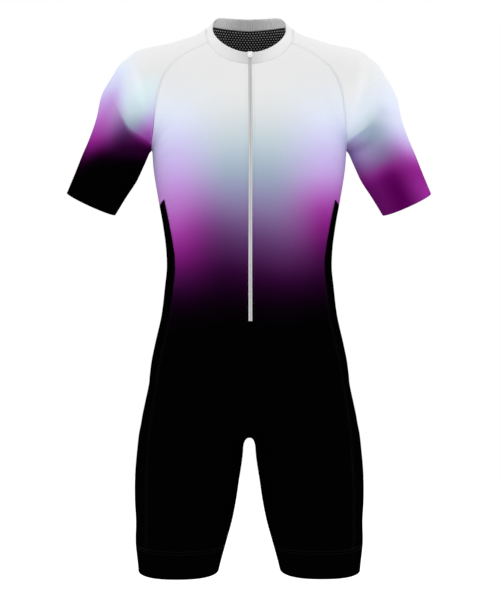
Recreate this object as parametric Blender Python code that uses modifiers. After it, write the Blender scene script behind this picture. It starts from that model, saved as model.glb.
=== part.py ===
"""A short-sleeved triathlon suit, filled out as on a wearer: the pieces a maker cuts, each a closed wall.

Metres, +Z up, +X towards the wearer's left, the front towards -Y. The origin is the centre of the neck
base, where the wearer's shoulders carry the suit. In the tables and in the form below, heights are above
the level of the leg hems, and the finished pieces are lowered by NECK_HEIGHT. The form is worked out for
one half and mirrored.
"""

import math

import bmesh
import bpy
import numpy as np
from mathutils import Matrix, Vector

NECK_HEIGHT = 0.906  # neck base above the level of the hems
CLOTH = 0.0016  # thickness of the wall
SEAM_GAP = 0.0003  # between two pieces that are sewn together
FULLNESS = 2.4  # power of the sections: 2 is an ellipse, more is squarer


def table(columns, *rows):
    """A table with named columns, a row for each section."""
    return dict(zip(columns.split(), np.array(rows, float).T))


# Horizontal sections of the trunk, from the crotch up to the neck
TRUNK = table(
    "height half_width front back",
    (0.248, 0.100, 0.034, 0.048),
    (0.259, 0.130, 0.060, 0.078),
    (0.274, 0.152, 0.076, 0.099),
    (0.300, 0.1645, 0.089, 0.113),
    (0.340, 0.1688, 0.096, 0.119),
    (0.370, 0.1662, 0.098, 0.118),
    (0.400, 0.1602, 0.098, 0.115),
    (0.450, 0.149, 0.097, 0.104),
    (0.500, 0.143, 0.093, 0.092),
    (0.530, 0.140, 0.091, 0.087),
    (0.560, 0.141, 0.092, 0.086),
    (0.600, 0.146, 0.096, 0.089),
    (0.650, 0.1548, 0.102, 0.096),
    (0.700, 0.1625, 0.108, 0.103),
    (0.740, 0.1645, 0.110, 0.107),
    (0.780, 0.163, 0.104, 0.109),
    (0.820, 0.148, 0.090, 0.108),
    (0.850, 0.125, 0.075, 0.104),
    (0.880, 0.100, 0.058, 0.096),
    (0.910, 0.082, 0.047, 0.083),
    (0.945, 0.068, 0.040, 0.067),
    (0.980, 0.056, 0.033, 0.056),
)
# Horizontal sections of one leg
LEG = table(
    "height centre half_width front back",
    (0.000, 0.1215, 0.0655, 0.066, 0.070),
    (0.020, 0.1198, 0.0682, 0.068, 0.072),
    (0.068, 0.1157, 0.0769, 0.074, 0.079),
    (0.102, 0.1107, 0.0813, 0.078, 0.083),
    (0.136, 0.1082, 0.0856, 0.081, 0.087),
    (0.170, 0.1057, 0.0882, 0.084, 0.091),
    (0.221, 0.1004, 0.0898, 0.088, 0.097),
    (0.260, 0.0975, 0.0875, 0.088, 0.100),
    (0.300, 0.0860, 0.0855, 0.084, 0.098),
    (0.340, 0.0760, 0.0740, 0.074, 0.088),
)
# Sections square to the arm, at distances from the shoulder joint
SHOULDER = np.array((0.1756, 0.0, 0.8364))
CUFF = np.array((0.2683, 0.0, 0.6387))
ARM = table(
    "distance half_width half_depth shift",
    (0.000, 0.0580, 0.0650, 0.0000),
    (0.045, 0.0615, 0.0620, 0.0000),
    (0.084, 0.0530, 0.0575, 0.0000),
    (0.120, 0.0512, 0.0555, 0.0020),
    (0.150, 0.0508, 0.0530, 0.0025),
    (0.182, 0.0476, 0.0508, 0.0012),
    (0.218, 0.0448, 0.0480, 0.0000),
)
# Sections square to the line from the neck base to the shoulder joint
YOKE_START = np.array((0.040, 0.0, 0.866))
YOKE = table(
    "distance half_width half_depth",
    (0.000, 0.0500, 0.0580),
    (0.060, 0.0640, 0.0640),
    (0.100, 0.0622, 0.0660),
    (0.139, 0.0532, 0.0640),
)
YOKE_BULGE = 0.014  # how far its rounded end reaches past the joint
BLEND_LEGS = 0.012  # softness where two forms run into each other
BLEND_HIPS = 0.025
BLEND_SHOULDER = 0.035
BLEND_ARMPIT = table("height softness", (0.720, 0.003), (0.760, 0.012), (0.820, 0.030), (0.900, 0.030))

# Height of the neck seam, by its turn from the front in degrees
NECK_SEAM = table(
    "turn height",
    (0, 0.8662),
    (10, 0.8668),
    (27, 0.8724),
    (38, 0.8805),
    (55, 0.9050),
    (71, 0.9286),
    (90, 0.9380),
    (118, 0.9456),
    (148, 0.9470),
    (180, 0.9452),
)
# The collar's top edge: its half sizes in plan, and its heights in front, at the side and behind
COLLAR_TOP = dict(half_width=0.0625, half_depth=0.060, front=0.8870, side=0.941, back=0.9656)
COLLAR_FULLNESS = 2.2
RAGLAN_FRONT_TURN = math.radians(55)  # where the raglan seams leave the neck, from its front
RAGLAN_BACK_TURN = math.radians(118)
RAGLAN_FRONT = table(
    "across height",
    (0.1038, 0.8877),
    (0.1328, 0.8663),
    (0.1455, 0.8450),
    (0.1534, 0.8196),
    (0.1567, 0.7983),
    (0.1590, 0.7715),
)
RAGLAN_BACK = table(
    "across height",
    (0.0850, 0.9080),
    (0.1200, 0.8800),
    (0.1420, 0.8460),
    (0.1540, 0.8080),
    (0.1600, 0.7720),
)
# Front seam of the side panel, from the hem to its tip. Above that it is only a line of the surface
SIDE_SEAM = table(
    "height across",
    (0.000, 0.1640),
    (0.064, 0.1717),
    (0.144, 0.1722),
    (0.198, 0.1710),
    (0.244, 0.1665),
    (0.311, 0.1597),
    (0.377, 0.1490),
    (0.402, 0.1430),
    (0.432, 0.1362),
    (0.464, 0.1306),
    (0.491, 0.1278),
    (0.534, 0.1237),
    (0.549, 0.1248),
    (0.595, 0.1324),
    (0.644, 0.1417),
    (0.740, 0.1500),
)
PANEL_TIP = 0.648  # height of the side panel's front and back tips
PANEL_DIP = 0.017  # its top edge is this much lower at the side
DIP_HEIGHT = 0.020  # rows this near the tip follow the edge down
DIP_TURN = math.radians(16)  # and on this much of the turn from the front to the back
ZIP_HALF_WIDTH = 0.0042
ZIP_END = 0.442
HIP_LINE = 0.288  # lowest level where the section is one ring
CROTCH = 0.215  # highest level with a whole ring for each leg
BAND_SEAM = 0.065
HEM = 0.020
HEM_SLOPE = 0.09  # leg hems and band seams fall towards the front
CUFF_SLOPE = 0.12
PIT_ACROSS = (0.150, 0.185)  # where the armpit's highest point is looked for
PIT_HEIGHT = (0.660, 0.800)
BELOW_PIT = 0.003  # the rings that meet at the armpit are measured this far from it

# The zip's slider and its pull tab, which hangs from a bar between two ears
SLIDER = Vector((0.0078, 0.0028, 0.0088))
SLIDER_DROP = 0.0048  # its middle below the collar's top edge
EAR = Vector((0.0011, 0.0022, 0.0024))
BAR_RADIUS = 0.0006
BAR_HEIGHT = 0.0024  # above the slider's middle
BAR_STANDOFF = 0.0011  # in front of the slider's face
TAB = Vector((0.0056, 0.0010, 0.0078))
TAB_NECK = Vector((0.0030, 0.0010, 0.0024))
TAB_HOLE_RADIUS = 0.0011
RUNNING_GAP = 0.0003
OVERSHOOT = 0.0004  # how far shapes that are joined or cut run into each other

# Spans between lines of the surface: how many faces lie across each
FRONT_SPANS, SIDE_SPANS, BACK_SPANS, INSEAM_SPANS, SLEEVE_SPANS = 6, 4, 7, 4, 12
RAGLAN_ROWS, SLEEVE_ROWS, COLLAR_ROWS = 10, 6, 2
CHEST_ROWS, WAIST_ROWS, HIP_ROWS = 4, 8, 6  # down to the panel's tip, to the zip's end, to the hip line
CROTCH_ROWS, THIGH_ROWS, BAND_ROWS = 4, 6, 2


# ---------------------------------------------------------------- the form that fills the suit out


def read(tab, column, at, by):
    """A column of a table between its rows, as a smooth curve."""
    xs, ys = tab[by], tab[column]
    rates = np.gradient(ys, xs)
    at = np.clip(at, xs[0], xs[-1])
    i = np.clip(np.searchsorted(xs, at) - 1, 0, len(xs) - 2)
    step = xs[i + 1] - xs[i]
    t = (at - xs[i]) / step
    rise = ys[i] * (1 + 2 * t) * (1 - t) ** 2 + ys[i + 1] * t * t * (3 - 2 * t)
    return rise + step * t * (1 - t) * (rates[i] * (1 - t) - rates[i + 1] * t)


def stack(tab, x, y, height, closed_below):
    """Roughly the distance outside a stack of horizontal sections."""
    wide = read(tab, "half_width", height, "height")
    deep = np.where(y < 0, read(tab, "front", height, "height"), read(tab, "back", height, "height"))
    centre = read(tab, "centre", height, "height") if "centre" in tab else 0
    turn = (np.abs((x - centre) / wide) ** FULLNESS + np.abs(y / deep) ** FULLNESS) ** (1 / FULLNESS)
    out = (turn - 1) * np.minimum(wide, deep)
    past = np.maximum(height - tab["height"][-1], 0)
    if closed_below:
        past = np.maximum(past, tab["height"][0] - height)
    return np.where(past > 0, np.hypot(np.maximum(out, 0), past), out)


def limb(tab, start, end, end_bulge, x, y, height):
    """Roughly the distance outside a tapering limb, round at its start and bulging at its end."""
    long = np.linalg.norm(end - start)
    axis = (end - start) / long
    along = (x - start[0]) * axis[0] + (height - start[2]) * axis[2]
    across = (height - start[2]) * axis[0] - (x - start[0]) * axis[2]
    if "shift" in tab:
        across = across + read(tab, "shift", along, "distance")
    wide = read(tab, "half_width", along, "distance")
    deep = read(tab, "half_depth", along, "distance")
    past = np.where(along < 0, along / wide, np.maximum(along - long, 0) / end_bulge)
    turn = np.sqrt((across / wide) ** 2 + (y / deep) ** 2 + past**2)
    return (turn - 1) * np.minimum(wide, deep)


def joined(a, b, softness):
    near = np.maximum(softness - np.abs(a - b), 0) / softness
    return np.minimum(a, b) - near * near * softness / 4


def field(points):
    """Below zero inside the filled-out suit, zero on its outer face, above zero outside it."""
    x, y, height = np.abs(points[..., 0]), points[..., 1], points[..., 2]
    legs = joined(stack(LEG, x, y, height, False), stack(LEG, -x, y, height, False), BLEND_LEGS)
    body = joined(stack(TRUNK, x, y, height, True), legs, BLEND_HIPS)
    yoke = limb(YOKE, YOKE_START, SHOULDER, YOKE_BULGE, x, y, height)
    arm = limb(ARM, SHOULDER, CUFF, math.inf, x, y, height)
    softness = read(BLEND_ARMPIT, "softness", height, "height")
    return joined(joined(body, yoke, BLEND_SHOULDER), arm, softness)


def slopes(points, step=0.0005):
    return np.stack(
        [(field(points + step * e) - field(points - step * e)) / (2 * step) for e in np.eye(3)], axis=-1
    )


def settled(points, rounds=6):
    """The points moved straight onto the outer face."""
    for _ in range(rounds):
        g = slopes(points)
        points = points - (field(points) / (g * g).sum(-1))[..., None] * g
    return points


def cast(starts, ways, reach=0.32, step=0.001):
    """Where lines from inside the form first leave it."""
    far = np.arange(0, reach, step)
    inside = field(starts[:, None] + far[None, :, None] * ways[:, None]) < 0
    first = np.argmin(inside, axis=1)
    low, high = far[first - 1], far[first]
    for _ in range(24):
        middle = (low + high) / 2
        out = field(starts + middle[:, None] * ways) > 0
        low, high = np.where(out, low, middle), np.where(out, middle, high)
    return starts + low[:, None] * ways


# ---------------------------------------------------------------- lines and grids on that form


def lengths(line):
    return np.concatenate([[0], np.cumsum(np.linalg.norm(np.diff(line, axis=0), axis=1))])


def divided(line, counts, stops=()):
    """Points along a line, with counts[i] equal steps between its stops, which are lengths along it."""
    at = lengths(line)
    marks = [0, *stops, at[-1]]
    places = [np.linspace(a, b, n + 1)[1:] for a, b, n in zip(marks, marks[1:], counts)]
    places = np.concatenate([[0], *places])
    return np.stack([np.interp(places, at, line[:, k]) for k in range(3)], axis=1)


def turned(centre, first, second, angles):
    """Rays from a centre, turning from the first way towards the second, to the outer face."""
    ways = np.cos(angles)[:, None] * first + np.sin(angles)[:, None] * second
    ways /= np.linalg.norm(ways, axis=1)[:, None]
    return cast(np.broadcast_to(centre, ways.shape).copy(), ways)


def face_point(across, height, side=-1):
    """The point of the outer face straight in front of, or behind, a point of the middle plane."""
    starts = np.array([(across, 0.0, height)])
    return cast(starts, np.array([(0.0, float(side), 0.0)]))[0]


def trunk_row(height):
    """Half a ring of the trunk, from the centre front round the side to the centre back."""
    angles = np.linspace(0, math.pi, 241)
    line = turned(np.array((0, 0, height)), np.array((0, -1.0, 0)), np.array((1.0, 0, 0)), angles)
    dip = PANEL_DIP * math.exp(-(((height - PANEL_TIP) / DIP_HEIGHT) ** 2))
    line[:, 2] -= dip * np.exp(-(((angles - math.pi / 2) / DIP_TURN) ** 2))
    line = settled(line)
    at, side = lengths(line), int(np.argmax(line[:, 0]))
    seam = read(SIDE_SEAM, "across", height, "height")
    stops = [
        np.interp(ZIP_HALF_WIDTH, line[: side + 1, 0], at[: side + 1]),
        np.interp(seam, line[: side + 1, 0], at[: side + 1]),
        at[side],
        np.interp(-seam, -line[side:, 0], at[side:]),
    ]
    half = SIDE_SPANS // 2
    row = settled(divided(line, (1, FRONT_SPANS, half, half, BACK_SPANS), stops))
    row[0, 0] = row[-1, 0] = 0
    row[1, 0] = ZIP_HALF_WIDTH
    return row


def leg_row(height):
    """A ring of one leg, from the inseam round the front and the side to the inseam."""
    slope = HEM_SLOPE * np.clip((CROTCH - height) / (CROTCH - BAND_SEAM), 0, 1)
    centre = np.array((read(LEG, "centre", height, "height"), 0, height))
    angles = np.linspace(0, 2 * math.pi, 361)
    line = turned(centre, np.array((-1.0, 0, 0)), np.array((0, -1.0, -slope)), angles)
    at, front, side, back = lengths(line), 90, 180, 270
    seam = read(SIDE_SEAM, "across", height, "height")
    stops = [
        np.interp(seam, line[front:side, 0], at[front:side]),
        at[side],
        np.interp(-seam, -line[side:back, 0], at[side:back]),
    ]
    half = SIDE_SPANS // 2
    counts = (INSEAM_SPANS + 1 + FRONT_SPANS, half, half, BACK_SPANS + INSEAM_SPANS)
    return settled(divided(line, counts, stops))


def patch(bottom, top, left, right, rounds=12):
    """A grid between four lines, evened out and settled on the outer face."""
    rows, columns = len(left), len(bottom)
    s = np.linspace(0, 1, columns)[None, :, None]
    t = np.linspace(0, 1, rows)[:, None, None]
    grid = (1 - t) * bottom[None] + t * top[None] + (1 - s) * left[:, None] + s * right[:, None]
    grid -= (1 - t) * ((1 - s) * bottom[0] + s * bottom[-1]) + t * ((1 - s) * top[0] + s * top[-1])
    grid[0], grid[-1], grid[:, 0], grid[:, -1] = bottom, top, left, right
    for _ in range(rounds):
        middle = (grid[:-2, 1:-1] + grid[2:, 1:-1] + grid[1:-1, :-2] + grid[1:-1, 2:]) / 4
        grid[1:-1, 1:-1] = settled(middle, 3)
    return grid


def evened_round(rows, count, rounds=12):
    """Evens out a leg's first rings between the highest and the last, but not the side panel's columns."""
    first = INSEAM_SPANS + 1 + FRONT_SPANS
    free = [j for j in range(len(rows[0]) - 1) if not first <= j <= first + SIDE_SPANS and j > 0]
    grid = np.array(rows[:count])
    for _ in range(rounds):
        beside = np.roll(grid[1:-1], 1, axis=1) + np.roll(grid[1:-1], -1, axis=1)
        middle = (grid[:-2] + grid[2:] + beside) / 4
        grid[1:-1, free] = settled(middle[:, free], 3)
    rows[:count] = list(grid)


def neck_seam(turns):
    """Points of the neck seam, by their turns from the front."""
    height = read(NECK_SEAM, "height", np.degrees(turns), "turn")
    ways = np.stack([np.sin(turns), -np.cos(turns), 0 * turns], axis=1)
    return cast(np.stack([0 * turns, 0 * turns, height], axis=1), ways)


def collar_top(turns):
    """Points of the collar's top edge, by their turns from the front."""
    mean = (COLLAR_TOP["front"] + COLLAR_TOP["back"]) / 2
    fall = (COLLAR_TOP["back"] - COLLAR_TOP["front"]) / 2
    bow = COLLAR_TOP["side"] - mean
    height = mean - fall * np.cos(turns) + bow * np.sin(turns) ** 2
    x, y = np.sin(turns), -np.cos(turns)
    wide = np.abs(x / COLLAR_TOP["half_width"]) ** COLLAR_FULLNESS
    deep = np.abs(y / COLLAR_TOP["half_depth"]) ** COLLAR_FULLNESS
    reach = (wide + deep) ** (-1 / COLLAR_FULLNESS)
    return np.stack([reach * x, reach * y, height], axis=1)


def armpit():
    """The highest point of the gap between the sleeve and the side."""
    across = np.linspace(*PIT_ACROSS, 141)[:, None]
    heights = np.linspace(*PIT_HEIGHT, 1401)[None]
    inside = field(np.stack(np.broadcast_arrays(across, 0, heights), axis=-1)) < 0
    lowest = heights[0, np.argmax(inside, axis=1)]
    best = np.argmax(lowest)
    return np.array((across[best, 0], 0, lowest[best]))


def raglan(tab, neck_end, pit, side):
    """A raglan seam from the armpit to the neck."""
    points = [face_point(a, h, side) for a, h in zip(tab["across"], tab["height"])]
    chain = np.array([neck_end, *points, pit])[::-1]
    at = lengths(chain)
    dense = np.linspace(0, at[-1], 200)
    curve = {"at": at, "x": chain[:, 0], "y": chain[:, 1], "z": chain[:, 2]}
    line = settled(np.stack([read(curve, c, dense, "at") for c in "xyz"], axis=1))
    line[0], line[-1] = pit, neck_end
    row = settled(divided(line, (RAGLAN_ROWS,)))
    row[0], row[-1] = pit, neck_end
    return row


def up_the_middle(across, start, end, side):
    """A line up the middle of the front or the back, from the armpits' level to the neck."""
    heights = np.linspace(start[2], end[2], 60)
    starts = np.stack([0 * heights + across, 0 * heights, heights], axis=1)
    line = cast(starts, np.broadcast_to(np.array((0.0, float(side), 0.0)), starts.shape))
    row = divided(np.array([start, *line[1:-1], end]), (RAGLAN_ROWS,))
    row[1:-1] = settled(row[1:-1])
    row[:, 0] = across
    return row


def grids():
    """The surface of one half as named grids. Rows go up, and columns from the front round to the back."""
    pit = armpit()
    levels = pit[2] - BELOW_PIT, PANEL_TIP, ZIP_END, HIP_LINE
    trunk = [trunk_row(levels[0])]
    for top, bottom, count in zip(levels, levels[1:], (CHEST_ROWS, WAIST_ROWS, HIP_ROWS)):
        trunk += [trunk_row(h) for h in np.linspace(top, bottom, count + 1)[1:]]
    side = 1 + FRONT_SPANS + SIDE_SPANS // 2
    trunk[0][side] = pit
    pit_row = trunk[0]

    # Below the hip line the ring takes in the crotch curve, and divides into the two legs
    hips = trunk[-1]
    angles = np.linspace(0, math.pi, 181)
    under = turned(np.array((0, 0, HIP_LINE)), np.array((0, -1.0, 0)), np.array((0, 0, -1.0)), angles)
    saddle = int(np.argmin(under[:, 2]))
    crotch = divided(under, (INSEAM_SPANS, INSEAM_SPANS), (lengths(under)[saddle],))
    crotch[:, 0] = 0
    ring = np.concatenate([crotch[INSEAM_SPANS:0:-1], hips, crotch[-2 : INSEAM_SPANS - 1 : -1]])
    levels = np.linspace(CROTCH, BAND_SEAM, THIGH_ROWS + 1)
    first = leg_row(levels[0])
    leg = [ring]
    for i in range(1, CROTCH_ROWS):
        t = i / CROTCH_ROWS
        leg.append(settled((1 - t) * ring + t * first))
    leg += [first] + [leg_row(h) for h in levels[1:]]
    evened_round(leg, CROTCH_ROWS + 2)
    leg += [leg_row(h) for h in np.linspace(BAND_SEAM, HEM, BAND_ROWS + 1)[1:]]

    # Above the armpits: front, sleeve and back run up to the neck
    ends = 0, RAGLAN_FRONT_TURN, RAGLAN_BACK_TURN, math.pi
    spans = {
        "front": FRONT_SPANS + SIDE_SPANS // 2,
        "sleeve": SLEEVE_SPANS,
        "back": BACK_SPANS + SIDE_SPANS // 2,
    }
    seam = {}
    for (name, count), start, end in zip(spans.items(), ends, ends[1:]):
        seam[name] = neck_seam(np.linspace(start, end, count + 1))
    seam["front"][0] = face_point(ZIP_HALF_WIDTH, seam["front"][0][2])
    seam["back"][-1, 0] = 0
    front_seam = raglan(RAGLAN_FRONT, seam["front"][-1], pit, -1)
    back_seam = raglan(RAGLAN_BACK, seam["back"][0], pit, 1)
    seam["sleeve"][0], seam["sleeve"][-1] = front_seam[-1], back_seam[-1]
    centre_front = up_the_middle(0.0, pit_row[0], face_point(0.0, seam["front"][0][2]), -1)
    zip_edge = up_the_middle(ZIP_HALF_WIDTH, pit_row[1], seam["front"][0], -1)
    centre_back = up_the_middle(0.0, pit_row[-1], seam["back"][-1], 1)
    front = patch(pit_row[1 : side + 1], seam["front"], zip_edge, front_seam)
    back = patch(pit_row[side:], seam["back"], back_seam, centre_back)

    # The sleeve: rings from the cuff to the armpit, and then a patch between the raglan seams
    axis = (CUFF - SHOULDER) / np.linalg.norm(CUFF - SHOULDER)
    inward = np.array((axis[2], 0, -axis[0]))
    start = SHOULDER + axis * ((pit - SHOULDER) @ axis + BELOW_PIT)
    angles = np.linspace(0, 2 * math.pi, 361)
    rows = []
    for i in range(SLEEVE_ROWS + 1):
        t = i / SLEEVE_ROWS
        forward = np.array((0, -1.0, 0)) + CUFF_SLOPE * t * axis
        line = turned((1 - t) * start + t * CUFF, inward, forward, angles)
        rows.append(settled(divided(line, (SLEEVE_SPANS,))))
        rows[-1][-1] = rows[-1][0]
    rows[0][0] = rows[0][-1] = pit
    top = patch(rows[0], seam["sleeve"], front_seam, back_seam)

    # The collar stands on the neck seam
    foot = np.concatenate([[centre_front[-1]], seam["front"], seam["sleeve"][1:], seam["back"][1:]])
    rim = collar_top(np.arctan2(foot[:, 0], -foot[:, 1]))
    rim[1, 0] = ZIP_HALF_WIDTH
    rim[0, 0] = rim[-1, 0] = 0
    collar = np.stack([foot + (rim - foot) * i / COLLAR_ROWS for i in range(COLLAR_ROWS + 1)])
    return {
        "trunk": np.array(trunk[::-1]),
        "leg": np.array(leg[::-1]),
        "centre": np.stack([centre_front, zip_edge], axis=1),
        "front": front,
        "back": back,
        "sleeve": np.concatenate([np.array(rows[::-1]), top[1:]]),
        "collar": collar,
    }


# ---------------------------------------------------------------- which piece each face belongs to


def piece_of(grid, row, column, middle_height, side):
    """The piece that a face of a grid belongs to, on the wearer's left or right."""
    first = 1 + FRONT_SPANS
    if grid == "trunk":
        if column == 0 and middle_height > ZIP_END:
            return "zip"
        if row < HIP_ROWS + WAIST_ROWS and first <= column < first + SIDE_SPANS:
            return "side_panel_" + side
        return "front" if column < first + SIDE_SPANS // 2 else "back"
    if grid == "leg":
        if row < BAND_ROWS:
            return "leg_band_" + side
        first += INSEAM_SPANS
        if first <= column < first + SIDE_SPANS:
            return "side_panel_" + side
        return "front" if column < first else "back"
    if grid == "centre" or (grid == "collar" and column == 0):
        return "zip"
    return "sleeve_" + side if grid == "sleeve" else grid


def whole_suit(surface):
    """One mesh of the outer face of the whole suit, and the faces of each piece."""
    mesh, vertices, pieces = bmesh.new(), {}, {}

    def vertex(point):
        key = tuple(round(float(c), 6) + 0.0 for c in point)
        if key not in vertices:
            vertices[key] = mesh.verts.new(key)
        return vertices[key]

    for name, grid in surface.items():
        for side, mirror in (("left", 1), ("right", -1)):
            placed = grid * (mirror, 1, 1)
            for i in range(grid.shape[0] - 1):
                for j in range(grid.shape[1] - 1):
                    corners = placed[i, j], placed[i, j + 1], placed[i + 1, j + 1], placed[i + 1, j]
                    face = mesh.faces.new([vertex(p) for p in corners[::mirror]])
                    height = sum(p[2] for p in corners) / 4
                    pieces.setdefault(piece_of(name, i, j, height, side), []).append(face)
    mesh.normal_update()
    return mesh, pieces


# ---------------------------------------------------------------- solids


def material(name, colour, roughness, metallic=0.0):
    made = bpy.data.materials.new(name)
    made.use_nodes = True
    shader = made.node_tree.nodes["Principled BSDF"]
    shader.inputs["Base Color"].default_value = (*colour, 1)
    shader.inputs["Roughness"].default_value = roughness
    shader.inputs["Metallic"].default_value = metallic
    return made


def inset(vertex, edges, faces):
    """How a vertex on a piece's edge moves into the piece, so that half the seam gap opens along it."""
    ways = []
    for edge in edges:
        face = next(f for f in edge.link_faces if f in faces)
        line = (edge.verts[1].co - edge.verts[0].co).normalized()
        way = face.calc_center_median() - vertex.co
        way = way - line * way.dot(line)
        ways.append((way - vertex.normal * way.dot(vertex.normal)).normalized())
    total = ways[0] + ways[1]
    return total * (SEAM_GAP / 2) / max(1 + ways[0].dot(ways[1]), 0.3)


def wall(name, faces, collection, finish, thickness=CLOTH):
    """A closed wall of cloth under the given faces of the suit's outer surface."""
    inside = set(faces)
    edges = {}
    for face in faces:
        for edge in face.edges:
            if sum(f in inside for f in edge.link_faces) == 1:
                for v in edge.verts:
                    edges.setdefault(v, set()).add(edge)
    solid, outer, inner = bmesh.new(), {}, {}
    for v in dict.fromkeys(v for face in faces for v in face.verts):
        place = v.co + (inset(v, list(edges[v]), inside) if v in edges else Vector())
        outer[v] = solid.verts.new(place)
        inner[v] = solid.verts.new(place - v.normal * thickness * min(v.calc_shell_factor(), 1.3))
    for face in faces:
        corners = list(face.verts)
        solid.faces.new([outer[v] for v in corners])
        solid.faces.new([inner[v] for v in reversed(corners)])
        for a, b in zip(corners, corners[1:] + corners[:1]):
            edge = next(e for e in a.link_edges if b in e.verts)
            if edge in edges.get(a, ()):
                solid.faces.new([outer[b], outer[a], inner[a], inner[b]])
    bmesh.ops.translate(solid, verts=solid.verts, vec=(0, 0, -NECK_HEIGHT))
    mesh = bpy.data.meshes.new(name)
    solid.to_mesh(mesh)
    solid.free()
    mesh.shade_smooth()
    mesh.set_sharp_from_angle(angle=math.radians(50))
    mesh.materials.append(finish)
    made = bpy.data.objects.new(name, mesh)
    collection.objects.link(made)
    return made


def block(name, size, place, collection, parent=None, helper=False):
    """A box with its middle at the place."""
    bpy.ops.mesh.primitive_cube_add(size=1)
    made = bpy.context.object
    made.name = made.data.name = name
    made.data.transform(Matrix.Translation(place) @ Matrix.Diagonal((*size, 1)))
    return filed(made, collection, parent, helper)


def rod(name, radius, length, way, place, collection, parent=None):
    """A cylinder along X or Y that only helps to shape another piece."""
    bpy.ops.mesh.primitive_cylinder_add(vertices=16, radius=radius, depth=length)
    made = bpy.context.object
    made.name = made.data.name = name
    turn = Matrix.Rotation(math.pi / 2, 4, "Y" if way == "X" else "X")
    made.data.transform(Matrix.Translation(place) @ turn)
    return filed(made, collection, parent, True)


def filed(made, collection, parent, helper):
    """Puts an object in its collection, under its parent."""
    for old in list(made.users_collection):
        old.objects.unlink(made)
    collection.objects.link(made)
    made.parent = parent
    if helper:
        made.hide_render = True
        made.display_type = "WIRE"
    return made


def shaped(target, operation, helper):
    """Joins a helper to a piece, or cuts it out of the piece."""
    change = target.modifiers.new(operation.lower(), "BOOLEAN")
    change.operation, change.object = operation, helper


def rounded(target, width):
    bevel = target.modifiers.new("rounded", "BEVEL")
    bevel.width, bevel.segments, bevel.limit_method = width, 2, "ANGLE"


def zip_head(collar, collection, helpers, metal):
    """The zip's slider, at the top of the collar, and the pull tab that hangs from it."""
    foot, rim = Vector(collar[0, 0]), Vector(collar[-1, 0])
    up = (rim - foot).normalized()
    out = Vector((0, -up.z, up.y))
    centre = rim - up * SLIDER_DROP + out * (RUNNING_GAP + SLIDER.y / 2)
    head = bpy.data.objects.new("zip_head", None)
    head.location = centre - Vector((0, 0, NECK_HEIGHT))
    head.rotation_euler = (-math.atan2(up.y, up.z), 0, 0)
    collection.objects.link(head)

    slider = block("zip_slider", SLIDER, Vector(), collection, head)
    rounded(slider, 0.0007)
    bar = Vector((0, -SLIDER.y / 2 - BAR_STANDOFF, BAR_HEIGHT))
    for side in (-1, 1):
        beside = side * (TAB_NECK.x / 2 + RUNNING_GAP + EAR.x / 2)
        place = Vector((beside, -SLIDER.y / 2 - EAR.y / 2 + OVERSHOOT, bar.z))
        shaped(slider, "UNION", block(f"ear_{side}", EAR, place, helpers, head, True))

    pivot = bpy.data.objects.new("zip_pull_axis", None)
    pivot.location = bar
    pivot.parent = head
    collection.objects.link(pivot)
    neck_middle = Vector((0, 0, BAR_RADIUS - TAB_NECK.z / 2))
    tab_top = neck_middle.z - TAB_NECK.z / 2 + OVERSHOOT
    pull = block("zip_pull", TAB, Vector((0, 0, tab_top - TAB.z / 2)), collection, pivot)
    rounded(pull, 0.0003)
    shaped(pull, "UNION", block("pull_neck", TAB_NECK, neck_middle, helpers, pivot, True))
    shaped(pull, "UNION", rod("pull_bar", BAR_RADIUS, TAB_NECK.x, "X", Vector(), helpers, pivot))
    hole = Vector((0, 0, tab_top - TAB.z + 2.2 * TAB_HOLE_RADIUS))
    shaped(pull, "DIFFERENCE", rod("pull_hole", TAB_HOLE_RADIUS, 3 * TAB.y, "Y", hole, helpers, pivot))
    for piece in (slider, pull):
        piece.data.materials.append(metal)


def main():
    for old in list(bpy.data.objects):
        bpy.data.objects.remove(old, do_unlink=True)
    collection = bpy.data.collections.new("triathlon_suit")
    helpers = bpy.data.collections.new("helpers")
    for made in (collection, helpers):
        bpy.context.scene.collection.children.link(made)
    pale = material("pale_cloth", (0.75, 0.75, 0.78), 0.6)
    black = material("black_cloth", (0.012, 0.012, 0.014), 0.6)
    tape = material("zip_tape", (0.6, 0.6, 0.62), 0.5)
    white = material("white_enamel", (0.85, 0.85, 0.85), 0.35)
    surface = grids()
    suit, pieces = whole_suit(surface)
    for name, faces in pieces.items():
        finish = tape if name == "zip" else black if name.startswith(("side_panel", "leg_band")) else pale
        wall(name, faces, collection, finish)
    suit.free()
    zip_head(surface["collar"], collection, helpers, white)


main()
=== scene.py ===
"""The looks of a short-sleeved triathlon suit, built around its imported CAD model.

Metres, in the frame of the CAD. The first half works out the same outer face as the part's source does,
from the same named sizes. It is then made fine, creased and divided into thin shells, one for each cut piece.
"""

import math

import bmesh
import bpy
import numpy as np
from mathutils import Matrix, Vector
from mathutils.bvhtree import BVHTree
from mathutils.kdtree import KDTree


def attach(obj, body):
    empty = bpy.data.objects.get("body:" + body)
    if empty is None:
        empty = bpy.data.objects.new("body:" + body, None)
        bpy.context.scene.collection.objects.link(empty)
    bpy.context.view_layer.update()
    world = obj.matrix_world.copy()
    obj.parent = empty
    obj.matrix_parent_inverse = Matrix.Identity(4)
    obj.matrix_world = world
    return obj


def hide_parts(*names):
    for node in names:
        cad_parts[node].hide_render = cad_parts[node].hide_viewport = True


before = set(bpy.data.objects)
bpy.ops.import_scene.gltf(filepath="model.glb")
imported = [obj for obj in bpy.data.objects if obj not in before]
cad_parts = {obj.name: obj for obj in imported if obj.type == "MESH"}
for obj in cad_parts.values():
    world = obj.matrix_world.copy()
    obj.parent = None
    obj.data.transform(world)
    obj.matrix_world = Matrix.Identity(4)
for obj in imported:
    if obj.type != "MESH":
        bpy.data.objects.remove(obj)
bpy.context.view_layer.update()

X, Y, Z = np.eye(3)
NECK_HEIGHT = 0.906  # neck base above the level of the hems
LOWERED = Matrix.Translation((0, 0, -NECK_HEIGHT))
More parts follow.
